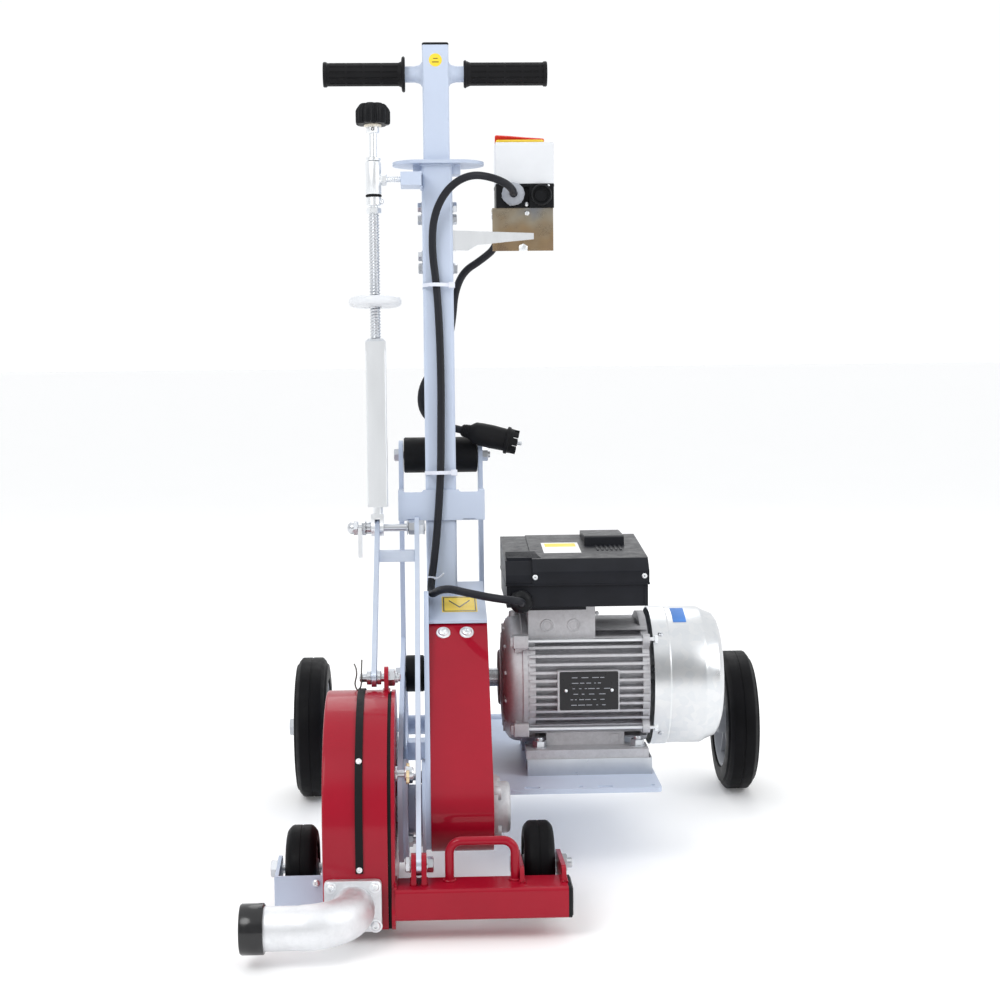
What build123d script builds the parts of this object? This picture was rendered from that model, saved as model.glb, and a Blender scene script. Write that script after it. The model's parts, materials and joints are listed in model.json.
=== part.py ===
from build123d import *
import math
import os

# A walk-behind electric concrete grinder. Millimetres, +X towards the motor, which is on the right
# when seen from the front, +Y to the rear where the operator stands, +Z up from the floor.
# Everything is built about the drum shaft (Y = 0) and the mast (X = 0), then moved so that
# the origin is the bottom centre of the machine without its mains lead.

# ---------------------------------------------------------------- driving dimensions
SHAFT_Z = 110.0            # drum shaft above the floor
SHAFT_R = 15.0
AXLE_Y, AXLE_Z, AXLE_R = 498.0, 100.0, 10.0          # rear axle
REAR_WHEEL_R, REAR_WHEEL_W = 100.0, 46.0
REAR_WHEEL_X = (-187.0, 425.0)
FRONT_WHEEL_R, FRONT_WHEEL_W = 50.0, 36.0
FRONT_WHEEL_X = (-167.0, 106.0)
FRONT_AXLE_Y, FRONT_AXLE_R = -30.0, 6.0

MAST_Y, MAST_Z = 290.0, 440.0                        # a point on the mast's centre line
MAST_LEAN = 4.1                                      # degrees, leaning back
MAST_SIDE, MAST_WALL = 40.0, 2.5
MAST_TOP_Z, HANDLE_TOP_Z, BAR_Z = 885.0, 1040.0, 1005.0
INNER_SIDE = 34.4                                    # telescoping handle tube
BAR_R, GRIP_R = 10.5, 15.5

PLATE = 6.0                                          # frame plate thickness
LEFT_PLATE_X, CENTRE_PLATE_X, RIGHT_PLATE_X = -56.0, -24.0, 51.0
ROLLER_R = 24.0
UPPER_ROLLER = (362.0, 502.0)                        # (y, z)
LOWER_ROLLER = (262.0, 221.0)

MOTOR_Y, MOTOR_Z = 238.0, 219.0
MOTOR_SHAFT_R = 12.0
STATOR_X, COWL_X = (107.0, 261.0), (272.0, 360.0)
FIN_PITCH, FIN_COUNT, FIN_W = 10.0, 15, 3.0
FOOT_X, FOOT_DY = (120.5, 245.5), 70.0               # IEC 90L foot holes
RAIL_TOP_Z, FOOT_TOP_Z = 130.0, 141.0
BOX_X, BOX_Z = (78.0, 262.0), (320.0, 401.0)         # capacitor and terminal box
BOX_FRONT, BOX_BACK = 150.0, 330.0

HUB_FLANGES = (6.0, 4.0)                             # thickness at the left and centre plates
HUB_BOLT_CIRCLE, HUB_BOLT_ANGLES = 38.0, (-120, -60, 0, 60)
DRIVE_PULLEY_R, DRIVEN_PULLEY_R = 50.0, 40.0
BELT_X = (12.0, 30.0)                                # centre planes of the two belts
BELT_W, BELT_DEPTH = 11.0, 8.0

CASE_LOW, CASE_MOTOR = (0.0, SHAFT_Z, 50.0), (MOTOR_Y, MOTOR_Z, 62.0)   # belt cover's corners
CASE_TOP, CASE_BACK = (152.0, 300.5, 5.0), (290.0, 318.0, 6.0)

BASE_Z, BASE_T = 109.0, 6.0                          # motor plate top and thickness
BASE_X, BASE_Y = (RIGHT_PLATE_X + PLATE, 266.0), (80.0, AXLE_Y - 14)

GUARD_R, GUARD_X, SHEET = 140.0, (-138.0, -66.0), 2.0
GUARD_BOTTOM = 12.0
GUARD_PLATE_X = (-62.0, -58.0)
DRUM_R, DRUM_X = 103.0, (-130.0, -72.0)
CROSSBAR_X, CROSSBAR_Y, CROSSBAR_Z = (-58.0, 132.5), (-155.0, -105.0), (25.0, 60.0)
PORT_X, PORT_Z = -104.5, 41.0                        # suction port in the guard's front
ELBOW_R, ELBOW_BEND = 23.5, 55.0

SPINDLE_X, SPINDLE_Y = -82.0, -40.0                  # depth spindle, in the mast's own frame
THREAD_R, ROD_R = 7.0, 5.0
FIT = 0.06                                           # radial running clearance
TRAVEL_DOWN, TRAVEL_UP = 18.0, 10.0                  # carriage travel along the mast's lean
LINK_Z = 413.0                                       # link bolt
LINK_BAR_X = (-86.0, -80.0)

SWITCH_X, SWITCH_Y = (77.0, 153.0), (300.0, 368.0)
SWITCH_Z = (829.0, 860.0, 914.0)                     # base bottom, joint line, top
CORD_R = 5.0

LEAN = math.radians(MAST_LEAN)
MAST = Pos(0, MAST_Y, MAST_Z) * Rot(-MAST_LEAN, 0, 0)

# Mains lead, from the gland under the switch, behind the mast and back to the plug
# that leans on the upper roller.
POWER_ROUTE = [
    (85, 352, 812), (81, 352, 782), (58, 350, 763), (34, 347, 748), (22, 344, 720),
    (19, 342, 685), (12, 340, 650), (-6, 338, 621), (-24, 337, 595), (-25, 337, 565),
    (-9, 337.5, 547), (10.5, 336.8, 541.1), (30, 336, 536.5),
]
# Motor cable, held along the mast by two ties: switch gland to motor box gland.
MOTOR_ROUTE = [
    (99, 283, 846), (97, 256, 852), (72, 246, 864), (42, 256, 869), (14, 274, 854),
    (-5, 283, 820), (-8, 285, 775), (-2, 284.2, 727), (1, 281, 665), (2, 275, 600),
    (1, 270.5, 540), (0, 264.5, 482), (-3, 258, 430), (-9, 248, 385), (-10, 232, 354),
    (-5, 196, 345), (5, 158, 341), (21, 127, 338), (45, 104, 335.5), (73.3, 96.4, 333.5),
    (88.3, 101.9, 332.5), (97.5, 115, 332), (97.5, 133, 332),
]


# ---------------------------------------------------------------- shape helpers
def block(x, y, z):
    """A box between low and high x, y and z."""
    spans = (x, y, z)
    centre = [(low + high) / 2 for low, high in spans]
    return Pos(*centre) * Box(*[high - low for low, high in spans])


def rod_x(radius, x, y, z):
    return Pos((x[0] + x[1]) / 2, y, z) * Rot(0, 90, 0) * Cylinder(radius, abs(x[1] - x[0]))


def rod_y(radius, x, y, z):
    return Pos(x, (y[0] + y[1]) / 2, z) * Rot(90, 0, 0) * Cylinder(radius, abs(y[1] - y[0]))


def rod_z(radius, x, y, z):
    return Pos(x, y, (z[0] + z[1]) / 2) * Cylinder(radius, abs(z[1] - z[0]))


def plate_x(outline, x):
    """An outline drawn in (y, z), made solid between two values of x."""
    return extrude(Plane.YZ.offset(x[0]) * outline, x[1] - x[0])


def hull(*discs):
    """The outline stretched round discs given as (y, z, radius)."""
    edges = [edge for y, z, r in discs for edge in (Pos(y, z) * Circle(r)).edges()]
    return make_hull(edges)


def hexagon_x(across, x, y, z):
    low, high = sorted(x)
    return plate_x(Pos(y, z) * RegularPolygon(across / math.sqrt(3), 6), (low, high))


def bolt_x(size, grip, y, z):
    """Bolt along X: its head is at the grip's first x and its nut at the second."""
    head, nut = grip
    way = 1 if nut > head else -1
    across = 1.6 * size
    bolt = rod_x(size / 2, sorted((head, nut + way * 1.2 * size)), y, z)
    bolt += hexagon_x(across, (head - way * 0.65 * size, head), y, z)
    return bolt + hexagon_x(across, (nut, nut + way * 0.8 * size), y, z)


def bolt_z(size, z, x, y):
    """Bolt head and washer standing on height z[0], its shank going down to z[1]."""
    head = extrude(Plane.XY.offset(z[0] + 1.5) * Pos(x, y) * RegularPolygon(0.92 * size, 6), 0.65 * size)
    return head + rod_z(size, x, y, (z[0], z[0] + 1.5)) + rod_z(size / 2, x, y, (z[1], z[0]))


def square_tube(side, wall, z, corner=4.0):
    outer = RectangleRounded(side, side, corner)
    inner = RectangleRounded(side - 2 * wall, side - 2 * wall, max(corner - wall, 0.8))
    return extrude(Plane.XY.offset(z[0]) * (outer - inner), z[1] - z[0])


def up_mast(z):
    """Distance along the mast's own axis of a height above the floor."""
    return (z - MAST_Z) / math.cos(LEAN)


def mast_point(y, z):
    """World (y, z) of a point at offset y from the mast's centre line, at world height z."""
    along = up_mast(z)
    return (MAST_Y + along * math.sin(LEAN) + y * math.cos(LEAN),
            MAST_Z + along * math.cos(LEAN) - y * math.sin(LEAN))


def arch(radius, bottom):
    """The guard's outline: half round over straight sides."""
    sides = Pos(0, (SHAFT_Z + bottom) / 2) * Rectangle(2 * radius, SHAFT_Z - bottom)
    round_top = Pos(0, SHAFT_Z) * (Circle(radius) - Pos(0, -radius) * Rectangle(2 * radius, 2 * radius))
    return round_top + sides


def cord_tube(route, radius):
    """A tube along straight runs joined by arcs as large as the runs allow."""
    points = [Vector(*p) for p in route]
    radii = []
    for a, b, c in zip(points, points[1:], points[2:]):
        turn = math.radians((b - a).get_angle(c - b))
        shorter = min((b - a).length, (c - b).length)
        radii.append(0.45 * shorter / math.tan(turn / 2))
    print("cord radii", [round(r) for r in radii])
    path = FilletPolyline(*points, radius=radii)
    start = Plane(origin=points[0], z_dir=points[1] - points[0])
    tube = sweep(start * Circle(radius), path=path)
    print("length", round(path.length), "volume ratio",
          round(tube.volume / (math.pi * radius ** 2 * path.length), 4))
    return tube


LINK = mast_point(SPINDLE_Y, LINK_Z)
CLEVIS = (-125.0, 80.0)
GUARD_PIN = (20.0, 263.0)


# ---------------------------------------------------------------- frame
def side_outline():
    """Side plates: a leg up to the roller and a foot from the hub to the rear axle."""
    leg = hull((*UPPER_ROLLER, 20), (344, 232, 30))
    arm = hull((*mast_point(0, 441), 20), (352, 441, 18))
    return leg + arm


def side_holes():
    return Pos(*UPPER_ROLLER) * Circle(5.25) + Pos(AXLE_Y, AXLE_Z) * Circle(14)


def make_left_plate():
    foot = hull((0, SHAFT_Z, 62), (330, 228, 34), (AXLE_Y, AXLE_Z, 28))
    window = hull((232, 150, 22), (352, 150, 36), (420, 120, 20))
    holes = side_holes() + Pos(*LOWER_ROLLER) * Circle(5.25) + Pos(0, SHAFT_Z) * Circle(22)
    outline = side_outline() + foot - window - holes
    for y, z in hub_bolt_places():
        outline -= Pos(y, z) * Circle(4.25)
    return plate_x(outline, (LEFT_PLATE_X, LEFT_PLATE_X + PLATE))


def make_centre_plate():
    outline = hull((0, SHAFT_Z, 48), (172, 321, 22), (310, 285, 30), (AXLE_Y, AXLE_Z, 28))
    outline -= hull((330, 160, 30), (415, 120, 20))
    outline -= Pos(*LOWER_ROLLER) * Circle(5.25) + Pos(AXLE_Y, AXLE_Z) * Circle(14)
    outline -= Pos(0, SHAFT_Z) * Circle(22) + Pos(MOTOR_Y, MOTOR_Z) * Circle(20)
    for y, z in hub_bolt_places():
        outline -= Pos(y, z) * Circle(4.25)
    return plate_x(outline, (CENTRE_PLATE_X, CENTRE_PLATE_X + PLATE))


def make_right_plate():
    foot = hull((344, 225, 30), (344, 92, 19), (AXLE_Y, AXLE_Z, 28))
    outline = side_outline() + foot - hull((368, 150, 14), (420, 122, 14)) - side_holes()
    return plate_x(outline, (RIGHT_PLATE_X, RIGHT_PLATE_X + PLATE))


def make_mast_tube():
    """Outer mast tube with the hanger plate on top and the spindle bracket on its left."""
    half = MAST_SIDE / 2
    top = up_mast(MAST_TOP_Z)
    tube = square_tube(MAST_SIDE, MAST_WALL, (-130, top), 5)
    wing = Pos(2, 0) * (Ellipse(60, 34) & Rectangle(130, 56)) - Rectangle(35.4, 35.4)
    tube += extrude(Plane.XY.offset(top) * wing, 4.5)
    for side in (-1, 1):
        tube += block(sorted((side * half, side * 31)), (-12, 12), (top - 12, top))
    level = up_mast(862)
    tube += block((-47, -half), (-50, -12), (level - 8.5, level + 8.5))
    return MAST * tube - Pos(0, 0, -50) * top_plate_space()


def top_plate_space():
    """Everything under the sloping plate that the mast stands on."""
    return plate_x(make_face_yz([(100, 0), (400, 0), (400, 397.6), (315, 384.8), (140, 358.5)]), (-60, 60))


def make_face_yz(points):
    return make_face(Polyline(*points, close=True))


def make_top_plate():
    """Sheet bent over the top of the belt cover, under the mast's foot."""
    outline = make_face_yz([(146, 309.4), (315, 334.8), (315, 330.8), (146, 305.4)])
    outline += make_face_yz([(311, 300), (315, 300), (315, 334.8), (311, 334.2)])
    return plate_x(outline, (CENTRE_PLATE_X + PLATE, RIGHT_PLATE_X + 4))


def make_yoke():
    """Bent plate that ties the mast to both side plates."""
    half = MAST_SIDE / 2
    low, high = up_mast(421), up_mast(461)
    front = block((LEFT_PLATE_X, RIGHT_PLATE_X + PLATE), (-half - 4, -half), (low, high))
    flange = block((LEFT_PLATE_X + PLATE, RIGHT_PLATE_X), (-half, 8), (low, low + 4))
    for side in (-1, 1):
        notch = Pos(side * 36.5, -half - 2, high + 4) * Rot(90, 0, 0) * extrude(
            RectangleRounded(27, 14, 4), 5, both=True)
        front -= notch
        lower = Pos(side * 36.5, -half - 2, low - 1) * Rot(90, 0, 0)
        front -= lower * extrude(Trapezoid(27, 6, 45), 5, both=True)
    foot = block((-half, half), (-half - 1, half + 1), (low - 2, low + 8))
    yoke = MAST * (front + (flange - foot))
    for x in (LEFT_PLATE_X, RIGHT_PLATE_X):
        yoke -= plate_x(side_outline(), (x, x + PLATE))
    return yoke


def make_base_plate():
    plate = block(BASE_X, BASE_Y, (BASE_Z - BASE_T, BASE_Z))
    rail = block((LEFT_PLATE_X + PLATE, BASE_X[1] - 20), (372, 402), (78, BASE_Z - BASE_T))
    rail -= block((LEFT_PLATE_X, BASE_X[1]), (375, 399), (81, BASE_Z - BASE_T - 3))
    for x in (CENTRE_PLATE_X, RIGHT_PLATE_X):
        rail -= block((x, x + PLATE), (360, 420), (60, 120))
    for x in (107, 197):
        slot = extrude(Plane.XY.offset(BASE_Z - 8) * Pos(x, 90) * SlotOverall(20, 8), 10)
        plate -= slot
    for x in (167, 256):
        plate -= rod_z(3, x, 92, (BASE_Z - 8, BASE_Z + 2))
    return fillet(plate.edges().filter_by(Axis.Z).group_by(Axis.Y)[0], 6) + rail


def make_rear_axle():
    tube = rod_x(14, (LEFT_PLATE_X - 8, REAR_WHEEL_X[1] - 32), AXLE_Y, AXLE_Z)
    axle = rod_x(AXLE_R, (-214, 452), AXLE_Y, AXLE_Z)
    return tube + axle + rod_x(13, (-158, -150), AXLE_Y, AXLE_Z)


# ---------------------------------------------------------------- drum bearing and belt drive
def hub_bolt_places():
    angles = [math.radians(a) for a in HUB_BOLT_ANGLES]
    return [(HUB_BOLT_CIRCLE * math.cos(a), SHAFT_Z + HUB_BOLT_CIRCLE * math.sin(a)) for a in angles]


def make_bearing_housing():
    """Flanged hub between the left and centre plates."""
    low, high = LEFT_PLATE_X + PLATE, CENTRE_PLATE_X
    hub = rod_x(58, (low, low + HUB_FLANGES[0]), 0, SHAFT_Z) + rod_x(28, (low, high), 0, SHAFT_Z)
    hub += rod_x(58, (high - HUB_FLANGES[1], high), 0, SHAFT_Z)
    hub -= rod_x(SHAFT_R + FIT, (low - 1, high + 1), 0, SHAFT_Z)
    for y, z in hub_bolt_places():
        hub -= rod_x(4.25, (low - 1, high + 1), y, z)
    return hub


def belt_case(grow):
    """Outline of the belt cover, grown inwards or outwards."""
    corners = (CASE_LOW, CASE_MOTOR, CASE_TOP, CASE_BACK)
    return hull(*[(y, z, r + grow) for y, z, r in corners])


def make_belt_cover():
    x = (CENTRE_PLATE_X + PLATE, RIGHT_PLATE_X + 4)
    cover = plate_x(belt_case(0), x) - plate_x(belt_case(-SHEET), (x[0] - 1, x[1] - SHEET))
    cover -= rod_x(SHAFT_R + 4, (40, 60), 0, SHAFT_Z)
    cover -= rod_x(34, (40, 60), MOTOR_Y, MOTOR_Z)
    return cover


def make_outboard_cap():
    """Cast bearing cap outside the belt cover."""
    x = RIGHT_PLATE_X + 4
    cap = rod_x(38, (x, x + 5), 0, SHAFT_Z) + rod_x(30, (x, x + 20), 0, SHAFT_Z)
    cap = fillet(cap.edges().filter_by(GeomType.CIRCLE).group_by(Axis.X)[-1], 5)
    for k in range(4):
        angle = math.radians(45 + 90 * k)
        cap += rod_x(8, (x, x + 9), 32 * math.cos(angle), SHAFT_Z + 32 * math.sin(angle))
    return cap - rod_x(SHAFT_R + FIT, (x - 1, x + 14), 0, SHAFT_Z)


def make_drum_shaft():
    return rod_x(SHAFT_R, (DRUM_X[0] - 4, RIGHT_PLATE_X + 16), 0, SHAFT_Z)


def make_drum():
    """Grinding drum: a core with rings of cutters."""
    drum = rod_x(84, DRUM_X, 0, SHAFT_Z)
    rings = 5
    step = (DRUM_X[1] - DRUM_X[0]) / rings
    for k in range(rings):
        x = DRUM_X[0] + step * k
        drum += rod_x(DRUM_R, (x + 2, x + step - 2), 0, SHAFT_Z)
    return drum - rod_x(SHAFT_R, (DRUM_X[0] - 1, DRUM_X[1] + 1), 0, SHAFT_Z)


def make_pulley(radius, bore, y, z):
    """Pulley with a groove for each belt."""
    pulley = rod_x(radius, (2, 40), y, z) - rod_x(bore, (0, 42), y, z)
    for x in BELT_X:
        groove = (x - BELT_W / 2 - 0.6, x + BELT_W / 2 + 0.6)
        pulley -= rod_x(radius + 1, groove, y, z) - rod_x(radius - BELT_DEPTH - 1, groove, y, z)
    return pulley


def belt_loop(grow):
    return hull((0, SHAFT_Z, DRIVEN_PULLEY_R + grow), (MOTOR_Y, MOTOR_Z, DRIVE_PULLEY_R + grow))


def make_belts():
    """Two V-belts lying in the pulley grooves."""
    loop = belt_loop(0.5) - belt_loop(0.5 - BELT_DEPTH)
    return [plate_x(loop, (x - BELT_W / 2, x + BELT_W / 2)) for x in BELT_X]


# ---------------------------------------------------------------- motor
def tie_places():
    """World (y, z) of the four tie rods."""
    return [(MOTOR_Y + dy, MOTOR_Z + dz) for dy in (-72, 72) for dz in (-54, 59)]


def tie_lugs(x):
    """Lugs on a motor casting round the tie rods."""
    lugs = Part()
    for y, z in tie_places():
        inner = (MOTOR_Y + 0.8 * (y - MOTOR_Y), MOTOR_Z + 0.8 * (z - MOTOR_Z))
        lugs += plate_x(hull((y, z, 7), (*inner, 10)), x)
    return lugs


def tie_holes(x):
    return [rod_x(3, x, y, z) for y, z in tie_places()]


def make_end_shield():
    x = (71, STATOR_X[0])
    shield = rod_x(84, (x[0] + 8, x[1]), MOTOR_Y, MOTOR_Z)
    shield += rod_x(58, (x[0] + 3, x[1]), MOTOR_Y, MOTOR_Z) + rod_x(34, x, MOTOR_Y, MOTOR_Z)
    shield = fillet(shield.edges().filter_by(GeomType.CIRCLE).group_by(Axis.X)[2:3][0], 2)
    shield += tie_lugs((x[1] - 9, x[1]))
    shield -= tie_holes((x[1] - 10, x[1] + 1))
    shield -= rod_x(64, (x[1] - 18, x[1] + 1), MOTOR_Y, MOTOR_Z)
    return shield - rod_x(MOTOR_SHAFT_R + FIT, (x[0] - 1, x[1]), MOTOR_Y, MOTOR_Z)


def make_stator():
    """Finned aluminium casing with its feet and the pad for the terminal box."""
    low, high = STATOR_X
    fins = rod_x(74, STATOR_X, MOTOR_Y, MOTOR_Z)
    for k in range(FIN_COUNT):
        z = MOTOR_Z + FIN_PITCH * (k - (FIN_COUNT - 1) / 2)
        fins += block((low + 1, high - 1), (MOTOR_Y - 90, MOTOR_Y + 90), (z - FIN_W / 2, z + FIN_W / 2))
    fins &= rod_x(87, STATOR_X, MOTOR_Y, MOTOR_Z)
    for x in ((low, low + 9), (high - 9, high)):
        fins += rod_x(84, x, MOTOR_Y, MOTOR_Z)
    pad = block((low + 1, high - 68), (MOTOR_Y - 62, MOTOR_Y + 62), (MOTOR_Z + 59.5, BOX_Z[0]))
    plate = block((low + 36, high - 40), (MOTOR_Y - 88, MOTOR_Y - 60), (MOTOR_Z - 29, MOTOR_Z + 23))
    feet = block((130, 230), (MOTOR_Y - 59, MOTOR_Y + 59), (RAIL_TOP_Z, MOTOR_Z - 60))
    for side in (-1, 1):
        span = sorted((MOTOR_Y + side * 50, MOTOR_Y + side * 88))
        feet += block((low - 4, high - 3), span, (RAIL_TOP_Z, FOOT_TOP_Z))
    body = fins + pad + plate + feet + tie_lugs((high - 9, high))
    body -= tie_holes((low - 1, high + 1))
    body -= rod_x(64, (low - 1, high - 8), MOTOR_Y, MOTOR_Z)
    body -= rod_x(MOTOR_SHAFT_R + FIT, (low, high + 1), MOTOR_Y, MOTOR_Z)
    body -= block((low, high), (MOTOR_Y - 40, MOTOR_Y + 40), (RAIL_TOP_Z - 1, RAIL_TOP_Z + 6))
    for x in FOOT_X:
        for side in (-1, 1):
            body -= rod_z(5.25, x, MOTOR_Y + side * FOOT_DY, (120, 150))
    return body


def make_fan_cowl():
    """Spun steel cowl over the fan, with a ring of air slots in its end."""
    x = COWL_X
    cowl = rod_x(90, x, MOTOR_Y, MOTOR_Z)
    cowl = fillet(cowl.edges().filter_by(GeomType.CIRCLE).group_by(Axis.X)[-1], 26)
    inner = rod_x(88, (x[0] - 1, x[1] - SHEET), MOTOR_Y, MOTOR_Z)
    inner = fillet(inner.edges().filter_by(GeomType.CIRCLE).group_by(Axis.X)[-1], 24)
    cowl -= inner
    rim = rod_x(90, (x[0] - 11, x[0]), MOTOR_Y, MOTOR_Z)
    cowl += rim - rod_x(84, (x[0] - 12, x[0] + 1), MOTOR_Y, MOTOR_Z)
    for ring, count in ((26, 8), (44, 14)):
        for k in range(count):
            angle = 2 * math.pi * k / count
            cowl -= rod_x(5.5, (x[1] - 6, x[1] + 1), MOTOR_Y + ring * math.cos(angle),
                          MOTOR_Z + ring * math.sin(angle))
    return cowl


def make_rotor():
    """Rotor stack, shaft and cooling fan, turning as one."""
    rotor = rod_x(44, (130, 236), MOTOR_Y, MOTOR_Z)
    shaft = rod_x(MOTOR_SHAFT_R, (1, 322), MOTOR_Y, MOTOR_Z)
    fan = rod_x(20, (286, 320), MOTOR_Y, MOTOR_Z) + rod_x(66, (286, 289), MOTOR_Y, MOTOR_Z)
    for k in range(7):
        blade = block((289, 316), (18, 76), (-1.5, 1.5))
        fan += Pos(0, MOTOR_Y, MOTOR_Z) * Rot(360 * k / 7, 0, 0) * blade
    return rotor + shaft + fan


def make_motor_rails():
    """Two folded zinc rails between the feet and the motor plate."""
    rails = []
    for side in (-1, 1):
        y = MOTOR_Y + side * FOOT_DY
        rail = block((104, 262), (y - 20, y + 20), (BASE_Z, RAIL_TOP_Z))
        rail -= block((103, 263), (y - 17, y + 17), (BASE_Z - 1, RAIL_TOP_Z - 3))
        for x in FOOT_X:
            rail -= rod_z(5.25, x, y, (120, 135))
        rails.append(rail)
    return rails


def make_motor_bolts():
    """Foot bolts and the long tie rods that hold the end shields."""
    bolts = [bolt_z(10, (FOOT_TOP_Z, 118), x, MOTOR_Y + side * FOOT_DY)
             for x in FOOT_X for side in (-1, 1)]
    start = STATOR_X[0] - 9
    for y, z in tie_places():
        bolts.append(rod_x(3, (start, STATOR_X[1]), y, z) + hexagon_x(9, (start - 4, start), y, z))
    return bolts


def make_terminal_box():
    """Capacitor and terminal box with a sloping front, a raised rear part and end ribs."""
    low, high = BOX_Z
    front, back = BOX_FRONT, BOX_BACK
    outline = make_face_yz([(front, low), (front, 366), (166, 384), (back, high - 5), (back, low)])
    box = plate_x(outline, BOX_X)
    box = fillet(box.edges().filter_by(Axis.X).group_by(Axis.Z)[-1], 6)
    box += block((176, BOX_X[1]), (232, back), (384, high))
    box += block((76.5, 264), (146, 332), (352, 356))
    for x in (115.5, 252.5):
        box += rod_y(4, x, (front - 2, front + 2), 360)
    return box


# ---------------------------------------------------------------- switch and its bracket
def make_switch_base():
    base = block(SWITCH_X, SWITCH_Y, SWITCH_Z[:2])
    base = fillet(base.edges().filter_by(Axis.Z), 4)
    return base + rod_y(14, 136, (SWITCH_Y[0] - 7, SWITCH_Y[0] + 1), 845)


def make_switch_box():
    """White switch housing with a sloping operator side."""
    low, high = SWITCH_Z[1:]
    front, back = SWITCH_Y
    side = [(front, low), (front, high - 6), (front + 6, high)]
    side += [(back - 18, high), (back, high - 26), (back, low)]
    box = plate_x(make_face_yz(side), SWITCH_X)
    return fillet(box.edges().filter_by(Axis.Y), 3) - stop_pocket()


def switch_slope():
    """Plane of the operator's sloping face, with its origin at the face's middle."""
    across = Vector(0, 18, -26).normalized()
    return Plane(origin=(115, 359, SWITCH_Z[2] - 13), x_dir=(1, 0, 0), z_dir=Vector(1, 0, 0).cross(across))


def stop_pocket():
    return switch_slope() * Box(27, 21, 12)


def make_stop_button():
    """Stop button in the operator's sloping face, drawn standing 5 mm proud."""
    button = Pos(0, 0, 2) * Box(26, 20, 7)
    return switch_slope() * fillet(button.edges().filter_by(Axis.Z), 2)


def make_back_plate():
    """Passivated bracket: a shelf under the switch and a front face turned down."""
    shelf = block((72, 152), (304, 342), (SWITCH_Z[0] - 3, SWITCH_Z[0]))
    face = block((72, 152), (304, 307), (773, SWITCH_Z[0] - 3))
    return shelf + face


def make_switch_arm():
    """Tapered arm from the mast's right side to the bracket."""
    outline = Polyline((20, 774), (20, 800), (126, 796), (126, 788), (52, 781), (40, 774), close=True)
    arm = extrude(Plane(origin=(0, 304, 0), x_dir=(1, 0, 0), z_dir=(0, -1, 0)) * make_face(outline), 4)
    return arm + block((20, 24), (300, 330), (774, 800)) - mast_space()


def mast_space():
    return MAST * block((-20, 20), (-20, 20), (-150, up_mast(MAST_TOP_Z)))


# ---------------------------------------------------------------- handle
def make_handle_mast():
    """Inner tube that slides in the mast, with the cross bar through its top."""
    tube = square_tube(INNER_SIDE, 2, (up_mast(700), up_mast(HANDLE_TOP_Z)), 3)
    return MAST * (tube + rod_x(BAR_R, (-145, 145), 0, up_mast(BAR_Z)))


def make_handle_cap():
    top = up_mast(HANDLE_TOP_Z)
    cap = block((-17.4, 17.4), (-17.4, 17.4), (top, top + 3.5))
    cap = fillet(cap.edges().group_by(Axis.Z)[-1], 2)
    return MAST * (cap + block((-14, 14), (-14, 14), (top - 10, top)))


def make_grips():
    """Ribbed rubber grips with a flange at the inner end."""
    level = up_mast(BAR_Z)
    grips = []
    for side, flange in ((-1, 23), (1, 18)):
        inner, outer = (40, 147) if side < 0 else (37, 146.5)
        grip = rod_x(GRIP_R, sorted((side * inner, side * outer)), 0, level)
        grip += rod_x(flange, sorted((side * inner, side * (inner + 5))), 0, level)
        grip -= rod_x(BAR_R, sorted((0, side * 145)), 0, level)
        grips.append(MAST * grip)
    return grips


# ---------------------------------------------------------------- depth spindle
def on_spindle(shape):
    return MAST * Pos(SPINDLE_X, SPINDLE_Y, 0) * shape


def make_depth_knob():
    """Seven-lobed star knob."""
    low, high = up_mast(932), up_mast(959)
    outline = Sketch() + Circle(18)
    for k in range(7):
        outline += Rot(0, 0, 360 * k / 7) * Pos(16.5, 0) * Circle(6)
    knob = extrude(Plane.XY.offset(low + 6) * outline, high - low - 6)
    knob = fillet(knob.edges().group_by(Axis.Z)[-1], 2)
    return on_spindle(knob + rod_z(13, 0, 0, (low, low + 6)) - rod_z(ROD_R, 0, 0, (low - 1, high - 6)))


def make_spindle_rod():
    rod = rod_z(ROD_R, 0, 0, (up_mast(815), up_mast(959) - 6))
    rod += rod_z(THREAD_R, 0, 0, (up_mast(600), up_mast(815)))
    rod += rod_z(10, 0, 0, (up_mast(885.4), up_mast(890)))
    return on_spindle(rod + rod_z(9.5, 0, 0, (up_mast(818), up_mast(839.5))))


def make_t_fitting():
    """Zinc sleeve that carries the spindle, on a stud into the mast's bracket."""
    level = up_mast(862)
    sleeve = rod_z(10, 0, 0, (up_mast(840), up_mast(885)))
    sleeve += rod_x(4, (0, -47 - SPINDLE_X), 0, level) + hexagon_x(17, (8, 17), 0, level)
    return on_spindle(sleeve - rod_z(ROD_R + FIT, 0, 0, (up_mast(839), up_mast(886))))


def make_lock_disc():
    disc = rod_z(34, 0, 0, (up_mast(698), up_mast(711)))
    disc = fillet(disc.edges().filter_by(GeomType.CIRCLE), 3)
    return on_spindle(disc - rod_z(THREAD_R + FIT, 0, 0, (up_mast(690), up_mast(720))))


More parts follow.
